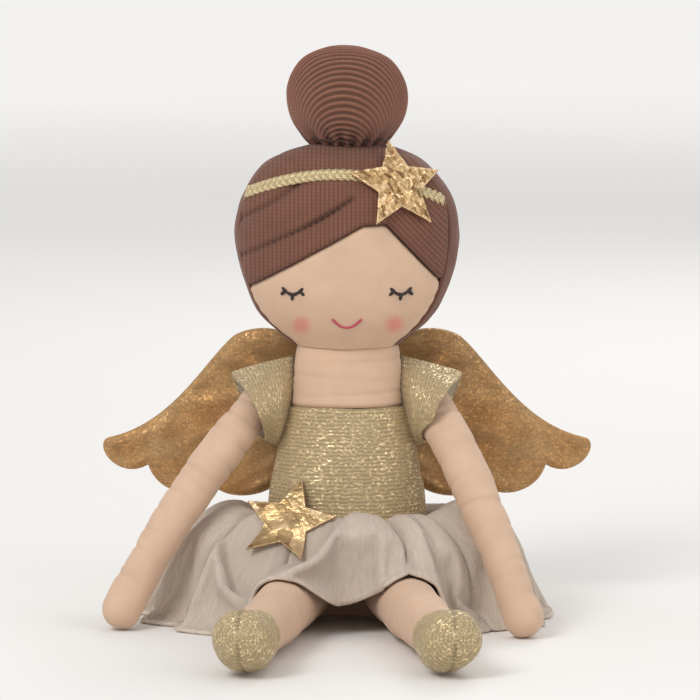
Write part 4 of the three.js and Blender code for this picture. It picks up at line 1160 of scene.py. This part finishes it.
class ANGEL_OT_arms(bpy.types.Operator):
    """Stuffs the two long soft arms, creased across, with a seam along the inside"""

    bl_idname = "angel.arms"
    bl_label = "Arms"

    def execute(self, context):
        """A round profile about a bowed line, sunk by crease curves and along one seam."""
        sizes, colours = context.scene.angel_sizes, context.scene.angel_colours
        cotton = woven_cotton("woven_cotton", colours.skin)
        profile = even(ARM_SIDE, 240)
        radius = profile[:, :1]
        run, a = np.broadcast_arrays(profile[:, 1:], turns_round(64))
        for name, side in SIDES.items():
            points = arm_rings(name, profile, 64)
            crease = limb_creases(run, a, 6, 84, 5.6, 41 + side)
            seam = bell(np.abs(a - 1.5 * np.pi) * radius, 0.6) * ease(radius, 1.5, 4)
            relief = -sizes.crease_depth / MM * crease - 0.45 * seam + 0.3 * lumps(points, 16, 43 + side)
            shape = raised(points, relief * ease(radius, 0, 4), facing_round(points))
            # Painted shade in the creases and along the seam.
            fold = np.clip(0.16 * crease + 0.3 * seam, 0, 0.6)
            arm = make_piece(f"{name}_arm", [patch(shape, fold)], cotton)
            stands_for(arm, f"{name}_arm", "skin_cotton", f"{name}_arm_cover", f"{name}_arm_stuffing")
        return {"FINISHED"}


class ANGEL_OT_sleeves(bpy.types.Operator):
    """Gathers a flutter sleeve round each armhole, long over the shoulder and short under the arm"""

    bl_idname = "angel.sleeves"
    bl_label = "Sleeves"

    def execute(self, context):
        """Round a narrow seam at the body's side the cloth springs out to the armhole's oval, then runs out
        from the bodice by a length that goes from 4 to 19 mm, flares in front and behind, folds to an edge
        over the shoulder, and keeps clear of the arm. Its back reaches further than its front, so that the
        lining shows."""
        sizes, colours = context.scene.angel_sizes, context.scene.angel_colours
        lurex = lurex_knit("lurex_knit", colours.lurex, sizes.course / MM)
        lining = woven_cotton("woven_cotton_lining", colours.sleeve_lining)
        seam_half, spring, flare, further_back, thickness = 4.6, 4.9, 7, 2.9, 0.9
        turn = turns_round(240)[None, :]
        v = np.linspace(0, 1, 44)[:, None]
        up, behind = np.cos(turn), -np.sin(turn)
        behind = behind * np.where(up > 0, np.maximum(1 - up**2, 0) ** 0.3, 1.0)
        z0, y0 = ARMHOLE_Z + ARMHOLE_HALF * up, seam_half * behind
        reach = SLEEVE_SHORT + (SLEEVE_LONG - SLEEVE_SHORT) * (0.5 + 0.5 * up)
        half = half_at(BODY_SIDE, z0)
        root = half * np.sqrt(np.maximum(1 - (y0 / (BODY_RATIO * half)) ** 2, 0.05)) - 0.3
        hem = half + 0.75 + reach + further_back * behind
        ripple = v**2 * (0.5 * np.cos(3 * turn + 0.8) + 0.35 * np.cos(7 * turn))
        gather = 0.35 * np.cos(34 * turn) * np.exp(-v / 0.25)
        bulge = 0.5 * np.sin(np.pi * v) * np.maximum(up, 0)
        x = root + (hem - root) * v
        y = y0 + (spring * ease(v, 0, 0.3) + flare * v + ripple + gather) * behind
        z = z0 - 0.3 * reach * v * up + (ripple + gather + bulge) * up
        # Painted shadow where the sleeve springs from the bodice, half as dark on the lining.
        seam = np.broadcast_to(0.95 * bell(v * 15, 1.1), x.shape)
        for name, side in SIDES.items():
            points = np.stack([side * x, y, z], axis=-1)
            axis = arm_axis(name, np.linspace(-2, 60, 90))
            for _ in range(2):
                gap, away = off_line(points, axis)
                points = raised(points, np.maximum(SLEEVE_GAP - gap, 0) * ease(v, 0.05, 0.3), away)
            shape = layered(points, thickness, facing_round(points) * side)
            uv = 1.35 * run_lengths(points)
            cloth = patch(shape[:, ::side], on_layers(seam, 0.5 * seam), on_layers(uv, uv))
            rows = len(shape) - 1
            cloth["slot"] = (np.arange(rows) > rows // 2 + 1)[:, None]
            sleeve = make_piece(f"{name}_flutter_sleeve", [cloth], lurex, lining)
            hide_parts(f"{name}_sleeve")
            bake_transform(sleeve)
        return {"FINISHED"}


class ANGEL_OT_legs(bpy.types.Operator):
    """Stuffs the two legs, creased across, down to the slippers"""

    bl_idname = "angel.legs"
    bl_label = "Legs"

    def execute(self, context):
        """A round profile about a straight line, sunk by crease curves, drawn in at the slipper's seam."""
        sizes, colours = context.scene.angel_sizes, context.scene.angel_colours
        cotton = woven_cotton("woven_cotton", colours.skin)
        shank = LEG_SIDE[LEG_SIDE[:, 1] <= LEG_LENGTH + 0.6]
        profile = np.concatenate([even(shank, 240), [(5.5, LEG_LENGTH + 1.2), (0, LEG_LENGTH + 1.4)]])
        run, a = np.broadcast_arrays(profile[:, 1:], turns_round(72))
        for name, side in SIDES.items():
            points = leg_rings(name, profile, 72)
            crease = limb_creases(run, a, 8, 86, 7.5, 51 + side)
            relief = 0.35 * lumps(points, 20, 53 + side) - sizes.crease_depth / MM * crease
            relief = relief + sewn_edge(LEG_LENGTH - run, 0.8)
            shape = raised(points, relief * ease(profile[:, :1], 5, 7), facing_round(points))
            shape[..., 2] = np.maximum(shape[..., 2], FLOOR_GAP)
            # Painted shade in the creases and at the slipper's seam.
            fold = np.clip(0.16 * crease + 0.7 * bell(LEG_LENGTH - run, 0.6), 0, 0.8)
            leg = make_piece(f"{name}_leg", [patch(shape, fold)], cotton)
            stands_for(leg, f"{name}_leg", "skin_cotton", f"{name}_leg_cover", f"{name}_leg_stuffing")
        return {"FINISHED"}


class ANGEL_OT_slippers(bpy.types.Operator):
    """Sews the two soft slippers over the ends of the legs, with a rolled top edge"""

    bl_idname = "angel.slippers"
    bl_label = "Slippers"

    def execute(self, context):
        """The leg's own profile past its ankle, a little fuller, about a line that lifts to the toe, with a
        seam from the toe along the middle of the sole and instep. The grid starts at the sole's middle."""
        sizes, colours = context.scene.angel_sizes, context.scene.angel_colours
        lurex = lurex_knit("lurex_knit", colours.lurex, sizes.course / MM)
        rows, sides = 120, 84
        sole = 3 * sides // 4
        rolled_edge = np.array([(6.2, 0.8), (7.4, -0.1), (8.2, -0.4), (8.5, 0.1)]) + (0, LEG_LENGTH)
        outline = np.concatenate([rolled_edge, LEG_SIDE[LEG_SIDE[:, 1] > LEG_LENGTH + 0.3]])
        profile = even(outline, rows)
        run, radius = profile[:, 1:], profile[:, :1]
        a = turns_round(sides) - 0.5 * np.pi
        seam = bell(np.cos(a) * radius, 0.55) * ease(radius, 0.5, 4) * ease(run, LEG_LENGTH, LEG_LENGTH + 2)
        # Painted shade along the seam and in the rolled top edge, where the slipper meets the leg.
        fold = np.clip(0.45 * seam + 0.7 * (np.arange(rows)[:, None] < 5), 0, 0.7)
        along = np.linspace(0, run_along(profile)[-1], rows)[:, None]
        uv = np.stack(np.broadcast_arrays(9 * a, along), axis=-1)
        for name, side in SIDES.items():
            points = leg_rings(name, profile, sides)
            points = np.concatenate([points[:, sole:-1], points[:, : sole + 1]], axis=1)
            relief = 0.3 * lumps(points, 12, 63 + side) - 0.5 * seam
            relief = relief + 0.3 * ease(run, LEG_LENGTH, LEG_LENGTH + 3)
            shape = raised(points, relief * ease(radius, 0, 4), facing_round(points))
            shape[..., 2] = np.maximum(shape[..., 2], FLOOR_GAP)
            slipper = make_piece(f"{name}_soft_slipper", [patch(shape, fold, uv)], lurex)
            stands_for(slipper, f"{name}_leg", "dress_lurex", f"{name}_slipper")
        return {"FINISHED"}


# Skirt


def puffs(heading):
    """Between each two folds the cloth swells in a round puff, half a circle across, as the root of 1 - (2f -
    1)², where f goes from 0 to 1 from fold to fold. Gives that and the puff's width in radians."""
    start = np.clip(np.searchsorted(PUFF_FOLDS, heading, side="right") - 1, 0, len(PUFF_FOLDS) - 2)
    width = PUFF_FOLDS[start + 1] - PUFF_FOLDS[start]
    f = np.clip((heading - PUFF_FOLDS[start]) / width, 0, 1)
    return np.clip(1 - (2 * f - 1) ** 2, 0, 1) ** 0.5, width


def skirt_surface(heading, v, puff):
    """From the waist's oval the cloth rises to a puff and falls to the hem's oval, as a curve of the second
    degree, with round puffs between folds and a hem that lies over the thighs in front and sags between
    them."""
    right, ahead = np.sin(heading), np.cos(heading)
    waist = np.broadcast_arrays(SKIRT_WAIST * right, -SKIRT_WAIST * BODY_RATIO * ahead, WAIST_Z + 0.4)
    waist = np.stack(waist, axis=-1)
    hem_x, hem_y = HEM_HALF_X * right, HEM_MIDDLE_Y - HEM_HALF_Y * ahead
    over = (1 - ease(np.abs(hem_x), 28, 36)) * (ahead > 0)
    sag = HEM_SAG * bell(hem_x, 10) * (ahead > 0)
    hem = np.stack([hem_x, hem_y, HEM_Z + HEM_LIFT * over - sag], axis=-1)
    top = waist + 0.5 * (hem - waist)
    top[..., 2] = SKIRT_TOP_Z
    point = (1 - v)[..., None] ** 2 * waist + (2 * v * (1 - v))[..., None] * top + (v**2)[..., None] * hem
    swell, width = puffs(heading)
    from_middle = np.hypot(point[..., 0], point[..., 1] - HEM_MIDDLE_Y)
    height = np.minimum(puff, 0.55 * width * from_middle) * np.clip(v / 0.16, 0, 1) ** 0.5 * (1 - 0.4 * v)
    square = unit(np.stack([right, -ahead, 1.3 * (1 - v) + 0.1], axis=-1))
    gather = 0.5 * np.cos(64 * heading + 2 * np.sin(5 * heading)) * np.exp(-v / 0.12)
    relief = height * (swell - 0.5 - 0.15 * ease(v, 0.1, 0.6)) + gather
    return raised(point, relief, square), 1 - swell


def evened(moves, rounds):
    """Smooths a ring of moves: each round takes a quarter of both neighbours along the rows, then along the
    columns."""
    for _ in range(rounds):
        ring = np.concatenate([moves[:, -2:-1], moves, moves[:, 1:2]], axis=1)
        moves = 0.5 * moves + 0.25 * (ring[:, :-2] + ring[:, 2:])
        ends = np.concatenate([moves[:1], moves, moves[-1:]])
        moves = 0.5 * moves + 0.25 * (ends[:-2] + ends[2:])
    return moves


def kept_clear(points, v):
    """Moves the skirt's cloth clear of its neighbours: down under the waist's star and under the wings, down
    and back from the arms, up over the legs or straight away from their sides, and up from the floor. Each
    round smooths the moves less, and the last one not at all."""
    star, across, up, out = star_frame("belt_star")
    arm_run, leg_run = np.linspace(0, ARM_LENGTH, 40), np.linspace(0, LEG_LENGTH, 30)
    for rounds in (8, 6, 4, 2, 1, 0):
        to = points - star
        rise, high = to @ out, to @ up
        flat = np.hypot(to @ across, np.where(high < 0, 0.7 * high, high))
        drop = np.maximum(rise + STAR_GAP, 0) / out[2] * (1 - ease(flat, 15, 21)) * ease(v, 0.02, 0.1)
        moves = np.zeros(points.shape)
        for name in SIDES:
            gap, _ = off_line(points, arm_axis(name, arm_run))
            moves += np.maximum(ARM_GAP - gap, 0)[..., None] * (0, 0.25, -1.0)
            gap, away = off_line(points, leg_axis(name, leg_run))
            high = gap * away[..., 2]
            beside = np.sqrt(np.maximum(gap**2 - high**2, 0))
            clear = high - np.sqrt(np.maximum(LEG_GAP**2 - beside**2, 0))
            above = (high > -2) & (beside < LEG_GAP)
            drop = np.where(above, np.minimum(drop, np.maximum(clear, 0)), drop)
            moves[..., 2] += np.where(above, np.maximum(-clear, 0), 0)
            moves += np.where(above, 0, np.maximum(LEG_GAP - gap, 0))[..., None] * away
        x, y, z = np.moveaxis(points, -1, 0)
        under_wing = ease(np.abs(x), 10, 16) * ease(y, 6, 12) * (1 - ease(y, 28, 36))
        moves[..., 2] -= drop + np.maximum(z - WING_FOOT + WING_GAP, 0) * under_wing
        points = points + evened(moves, rounds)
        points[..., 2] = np.maximum(points[..., 2], HEM_GAP)
    return points


SOLVER_SCALE = 20  # times life size, where the cloth solver's steps suit it
CLOTH_SETTINGS = {
    "quality": 6,
    "mass": 0.25,
    "tension_stiffness": 12,
    "compression_stiffness": 12,
    "shear_stiffness": 4,
    "bending_stiffness": 8,
    "tension_damping": 10,
    "compression_damping": 10,
    "air_damping": 2,
    "vertex_group_mass": "held",
    "use_pressure": True,
    "uniform_pressure_force": 2.5,
    "shrink_min": -0.02,
}


def solver_mesh(name, points):
    """A grid as a mesh for the cloth solver, at the solver's own scale."""
    mesh = bpy.data.meshes.new(name)
    mesh.from_pydata(points.reshape(-1, 3) * SOLVER_SCALE * MM, [], cells(*points.shape[:2]))
    solid = bpy.data.objects.new(name, mesh)
    bpy.context.scene.collection.objects.link(solid)
    return solid


def settled(points, held, solids, frames):
    """Lets a ring of cloth settle under its weight over solids, a little pressed out from inside, with its
    held points kept in place. The ring is cut open along its first column, which is held too. Blender's own
    cloth solver does it."""
    scene = bpy.context.scene
    blocks = [solver_mesh("solid", solid) for solid in solids]
    for block in blocks:
        block.modifiers.new("Collision", "COLLISION")
        block.collision.thickness_outer = 0.018
        block.collision.cloth_friction = 8
    cloth = solver_mesh("cloth", points)
    group = cloth.vertex_groups.new(name="held")
    level = np.round(held.ravel(), 1)
    for weight in np.unique(level[level > 0]):
        group.add(np.flatnonzero(level == weight).tolist(), float(weight), "REPLACE")
    solver = cloth.modifiers.new("Cloth", "CLOTH")
    for key, value in CLOTH_SETTINGS.items():
        setattr(solver.settings, key, value)
    solver.settings.effector_weights.gravity = 0.3
    solver.collision_settings.distance_min = 0.012
    solver.collision_settings.collision_quality = 3
    solver.point_cache.frame_end = frames
    for step in range(1, frames + 1):
        scene.frame_set(step)
    shape = cloth.evaluated_get(bpy.context.evaluated_depsgraph_get()).to_mesh()
    result = np.zeros(3 * len(shape.vertices), np.float32)
    shape.vertices.foreach_get("co", result)
    scene.frame_set(1)
    for used in (cloth, *blocks):
        mesh = used.data
        bpy.data.objects.remove(used)
        bpy.data.meshes.remove(mesh)
    return result.reshape(points.shape).astype(float) / SOLVER_SCALE / MM


class ANGEL_OT_skirt(bpy.types.Operator):
    """Gathers the puffed skirt at the waist, over the thighs and down to the floor"""

    bl_idname = "angel.skirt"
    bl_label = "Skirt"

    def execute(self, context):
        """The skirt's surface on a grid of heading and run, settled as cloth over the body, limbs and floor,
        kept clear of its neighbours, with a second face and a round hem. Its hold fades from the waist down,
        and is firmer in the folds than on the puffs."""
        sizes, colours = context.scene.angel_sizes, context.scene.angel_colours
        gauze = crepe_gauze("crepe_gauze", colours.gauze)
        heading = np.linspace(PUFF_FOLDS[0], PUFF_FOLDS[0] + FULL_TURN, 381)[None, :]
        heading, v = np.broadcast_arrays(heading, np.linspace(0, 1, 64)[:, None])
        points, deep = skirt_surface(heading, v, sizes.puff / MM)
        points = kept_clear(points, v)

        heights = np.linspace(0.5, 66, 40)
        body_side = np.stack([half_at(BODY_SIDE, heights), heights], axis=-1)
        span = np.linspace(-150, 150, 4)
        x, y = np.meshgrid(span, span)
        ground = np.stack([x, y, np.zeros_like(x)], axis=-1)
        solids = [turned(body_side, BODY_RATIO, turns_round(60)), ground]
        for name in SIDES:
            solids.append(leg_rings(name, even(LEG_SIDE, 60), 24))
            solids.append(arm_rings(name, even(ARM_SIDE, 60), 24))
        held = 0.06 + 0.65 * (1 - ease(v, 0.35, 0.8)) + 0.29 * deep**2 * (1 - ease(v, 0.75, 1))
        held = np.maximum(held, v < 0.03)
        held[:, [0, -1]] = 1.0
        grounded = (points[-1:, :, 2] < 2.5) * ease(v, 0.7, 1.0)
        points = kept_clear(settled(points, held, solids, 20), v)
        points[..., 2] -= (points[-1:, :, 2] - 0.75) * grounded

        shape = layered(points, 0.9 + 0.5 * bell(1 - v, 0.02), facing_round(points))
        # Painted shade: deep in the folds between puffs, under the waist, and a little over all of the inner
        # face.
        sunk = 0.9 * deep**1.2 * ease(v, 0.02, 0.12) * (1 - 0.5 * v) + 0.5 * (1 - ease(v, 0, 0.05))
        sunk = np.clip(sunk, 0, 0.85)
        uv = run_lengths(points)
        cloth = patch(shape, on_layers(sunk, np.full_like(sunk, 0.3)), on_layers(uv, uv))
        skirt = make_piece("puffed_skirt", [cloth], gauze)
        stands_for(skirt, "torso", "skirt_gauze", "skirt")
        return {"FINISHED"}


# Wings


def wing_grid(columns, rows):
    """Points of one wing in its own plane, as (out from the seam, height), and their distance from its edge.
    The edge is cubic curves end to end. Each column runs from the lower edge to the upper one, and columns
    crowd towards the tip as a sine."""
    steps = 60
    t = np.linspace(0, 1, steps)[:, None]
    a, b, c, d = np.moveaxis(np.array(WING_OUTLINE, float), 1, 0)[:, :, None]
    line = (1 - t) ** 3 * a + 3 * t * (1 - t) ** 2 * b + 3 * t**2 * (1 - t) * c + t**3 * d
    line = line.reshape(-1, 2) * (WING_REACH, WING_HEIGHT) + (0, WING_FOOT)
    tip = np.argmax(line[:, 0])
    upper, lower = line[steps : tip + 1], line[tip:][::-1]
    out = line[tip, 0] * np.sin(np.linspace(0, np.pi / 2, columns))
    high = np.interp(out, upper[:, 0], upper[:, 1])
    low = np.interp(out, lower[:, 0], lower[:, 1])
    high[-1] = low[-1] = line[tip, 1]
    share = np.linspace(0, 1, rows)[:, None]
    flat = np.stack(np.broadcast_arrays(out, low + share * (high - low)), axis=-1)
    edge = off_line(flat, np.concatenate([line[::4], line[:1]]))[0]
    edge[[0, -1]] = 0
    edge[:, [0, -1]] = 0
    return flat, edge


class ANGEL_OT_wings(bpy.types.Operator):
    """Sews the two thin padded wings of crinkled metal cloth, turned out along a close edge seam"""

    bl_idname = "angel.wings"
    bl_label = "Wings"

    def execute(self, context):
        """Two faces leave the wing's middle plane by a quarter circle within 4 mm of its edge, sink a little
        at its seam and crinkle in waves that fan out from behind the seam."""
        sizes, colours = context.scene.angel_sizes, context.scene.angel_colours
        lame = crinkled_lame("crinkled_lame", colours.lame)
        flat, edge = wing_grid(190, 70)
        out, high = flat[..., 0], flat[..., 1]
        puff, rim, seam_in, fan_out, fan_high, pleat_turn = 1.9, 4, 1.3, -26, 64, 0.16
        zero = np.zeros_like(out)
        swell = puff * np.sqrt(np.clip(1 - (1 - np.clip(edge / rim, 0, 1)) ** 2, 0, 1))
        stitch = bell(edge - seam_in, 0.45)
        fan = np.arctan2(high - fan_high, out - fan_out)
        sweep = np.hypot(high - fan_high, out - fan_out)
        waves = lumps(np.stack([fan * 60, sweep * 0.32, zero], axis=-1), 7, 81)
        crinkle = sizes.crinkle / MM * (waves + 0.6 * lumps(np.stack([out, high, zero], axis=-1), 9, 82))
        pleat = 0.5 * np.cos(FULL_TURN * fan / pleat_turn + 0.8 * np.sin(out / 9)) * ease(out, 40, 66)
        camber = 1.3 * np.sin(np.pi * np.clip(out / WING_REACH, 0, 1)) * (1 - ((high - 62) / 34) ** 2)
        inner = ease(edge, 0, 3)
        # Painted shade along the seam, in the valleys of the crinkles and pleats, and towards the root,
        # beside the body.
        dark = np.clip(0.12 * stitch + 0.3 * np.clip(-(waves + pleat), 0, 1) * inner, 0, 0.8)
        dark = np.clip(dark + 0.35 * (1 - ease(out, 8, 30)), 0, 0.85)
        across, back = math.cos(WING_SWEEP), math.sin(WING_SWEEP)
        for name, side in SIDES.items():
            faces = []
            for face in (-1, 1):
                level = WING_DEPTH / 2 + camber + face * (swell - 0.12 * stitch) + (crinkle + pleat) * inner
                x = side * (WING_ROOT + out * across - level * back)
                y = WING_FRONT_Y + out * back + level * across
                step = -face * side
                points = np.stack([x, y, high], axis=-1)
                faces.append(patch(points[:, ::step], dark[:, ::step], flat[:, ::step]))
            wing = make_piece(f"{name}_wing", faces, lame)
            layers = [f"{name}_wing_{layer}" for layer in ("front", "wadding", "back")]
            stands_for(wing, f"{name}_wing", "wing_lame", *layers)
        return {"FINISHED"}


class ANGEL_OT_wing_tab(bpy.types.Operator):
    """Sews the strip behind the bodice that carries both wings"""

    bl_idname = "angel.wing_tab"
    bl_label = "Wing strip"

    def execute(self, context):
        """A rounded strip whose inner face follows the bodice's back and whose outer face is nearly flat: a
        square section drawn in at its corners by the power 0.35."""
        lame = crinkled_lame("crinkled_lame", context.scene.angel_colours.lame)
        low, high = (np.array(corner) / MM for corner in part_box("wing_tab"))
        corner = 0.35
        a = turns_round(120)[None, :]
        t = np.linspace(0, 1, 60)[:, None]
        z = low[2] + (high[2] - low[2]) * t
        width = (high[0] - low[0]) / 2 * np.clip(1 - (2 * t - 1) ** 8, 0, 1) ** 0.5
        x = width * np.sign(np.sin(a)) * np.abs(np.sin(a)) ** corner
        half = half_at(BODY_SIDE, z)
        back = BODY_RATIO * half * np.sqrt(np.maximum(1 - (x / half) ** 2, 0)) + 0.4
        outer = high[1] - 0.02 * x**2
        share = 0.5 + 0.5 * np.sign(np.cos(a)) * np.abs(np.cos(a)) ** corner
        y = np.where(width > 1e-6, outer + (back - outer) * share, (outer + back) / 2)
        points = np.stack(np.broadcast_arrays(x, y, z), axis=-1)
        strip = make_piece("wing_strip", [patch(points, uv=points[..., [0, 2]])], lame)
        stands_for(strip, "torso", "wing_lame", "wing_tab")
        return {"FINISHED"}


# Stage

FLOOR_HALF, FLOOR_Z = 16000, -0.05  # in millimetres
LAMPS = (  # name, place and size in metres, power in watts
    ("key", (-0.75, -1.1, 1.15), 0.6, 11.5),
    ("fill", (1.1, -0.9, 0.6), 0.9, 3.5),
    ("rim", (0.35, 1.0, 1.0), 0.7, 5.0),
)
LAMP_TARGET = Vector((0, -0.02, 0.088))
CAMERA_TARGET = Vector((0.001, -0.02, 0.0885))
CAMERA_AWAY, CAMERA_RISE, CAMERA_LENS = 1.4, math.radians(6), 225


class ANGEL_OT_stage(bpy.types.Operator):
    """Lays a plain pale floor, hangs soft lights and sets the camera in front of the angel"""

    bl_idname = "angel.stage"
    bl_label = "Stage"

    def execute(self, context):
        """The floor is a wide flat grid. The camera stands 1.4 m off, 6 degrees above the horizon. The sky is
        a plain pale one to the camera, and lights the angel more from above than from below."""
        scene = context.scene
        span = np.linspace(-FLOOR_HALF, FLOOR_HALF, 9)
        across, along = np.meshgrid(span, span)
        ground = patch(np.stack([across, along, np.full_like(across, FLOOR_Z)], axis=-1), uv=np.zeros(2))
        make_piece("floor", [ground], studio_paper("plain_paper"))

        world = bpy.data.worlds.new("studio")
        world.use_nodes = True
        world.node_tree.nodes.clear()
        node = functools.partial(add, world.node_tree)
        heading = node("SeparateXYZ", [node("TexCoord").outputs["Generated"]])
        height = node("MapRange", [heading.outputs["Z"], -0.1, 0.8, 0.42, 0.75])
        path = node("LightPath").outputs
        seen = node("Math", [path["Is Camera Ray"], path["Is Transmission Ray"]], operation="MAXIMUM")
        strength = node("Mix", [seen, height, 0.97])
        sky = node("Background", {"Color": rgba(linear("#ffffff")), "Strength": strength})
        node("OutputWorld", {"Surface": sky})
        scene.world = world

        for name, place, size, power in LAMPS:
            lamp = bpy.data.lights.new(name, "AREA")
            lamp.size = size
            lamp.energy = power
            holder = bpy.data.objects.new(name, lamp)
            holder.location = place
            holder.rotation_mode = "QUATERNION"
            holder.rotation_quaternion = (LAMP_TARGET - Vector(place)).to_track_quat("-Z", "Y")
            scene.collection.objects.link(holder)

        camera = bpy.data.objects.new("camera", bpy.data.cameras.new("camera"))
        camera.data.lens = CAMERA_LENS
        camera.data.clip_end = 60
        back = Vector((0, -math.cos(CAMERA_RISE), math.sin(CAMERA_RISE)))
        camera.location = CAMERA_TARGET + CAMERA_AWAY * back
        camera.rotation_mode = "QUATERNION"
        camera.rotation_quaternion = (-back).to_track_quat("-Z", "Y")
        scene.collection.objects.link(camera)
        scene.camera = camera
        scene.view_settings.view_transform = "Standard"
        return {"FINISHED"}


class ANGEL_PT_panel(bpy.types.Panel):
    """Lists the angel's pieces, sizes and colours"""

    bl_idname = "ANGEL_PT_panel"
    bl_label = "Plush angel"
    bl_space_type = "VIEW_3D"
    bl_region_type = "UI"
    bl_category = "Plush angel"

    def draw(self, context):
        """One button for each operator, then each size and colour."""
        for operator in OPERATORS:
            self.layout.operator(operator.bl_idname)
        for group in (context.scene.angel_sizes, context.scene.angel_colours):
            for name in group.__annotations__:
                self.layout.prop(group, name)


OPERATORS = (
    ANGEL_OT_stage,
    ANGEL_OT_head,
    ANGEL_OT_bun,
    ANGEL_OT_strand_stitches,
    ANGEL_OT_headband,
    ANGEL_OT_stars,
    ANGEL_OT_face_stitches,
    ANGEL_OT_body,
    ANGEL_OT_arms,
    ANGEL_OT_sleeves,
    ANGEL_OT_legs,
    ANGEL_OT_slippers,
    ANGEL_OT_skirt,
    ANGEL_OT_wings,
    ANGEL_OT_wing_tab,
)
CLASSES = (AngelSizes, AngelColours, *OPERATORS, ANGEL_PT_panel)


def register():
    """Makes the angel's classes and settings known to Blender."""
    for known in CLASSES:
        bpy.utils.register_class(known)
    bpy.types.Scene.angel_sizes = bpy.props.PointerProperty(type=AngelSizes)
    bpy.types.Scene.angel_colours = bpy.props.PointerProperty(type=AngelColours)


def unregister():
    """Takes the angel's settings and classes away again."""
    del bpy.types.Scene.angel_colours
    del bpy.types.Scene.angel_sizes
    for known in reversed(CLASSES):
        bpy.utils.unregister_class(known)


def main():
    """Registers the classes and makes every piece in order."""
    register()
    bpy.ops.angel.stage()
    bpy.ops.angel.head()
    bpy.ops.angel.bun()
    bpy.ops.angel.strand_stitches()
    bpy.ops.angel.headband()
    bpy.ops.angel.stars()
    bpy.ops.angel.face_stitches()
    bpy.ops.angel.body()
    bpy.ops.angel.arms()
    bpy.ops.angel.sleeves()
    bpy.ops.angel.legs()
    bpy.ops.angel.slippers()
    bpy.ops.angel.skirt()
    bpy.ops.angel.wings()
    bpy.ops.angel.wing_tab()


if __name__ == "__main__":
    main()
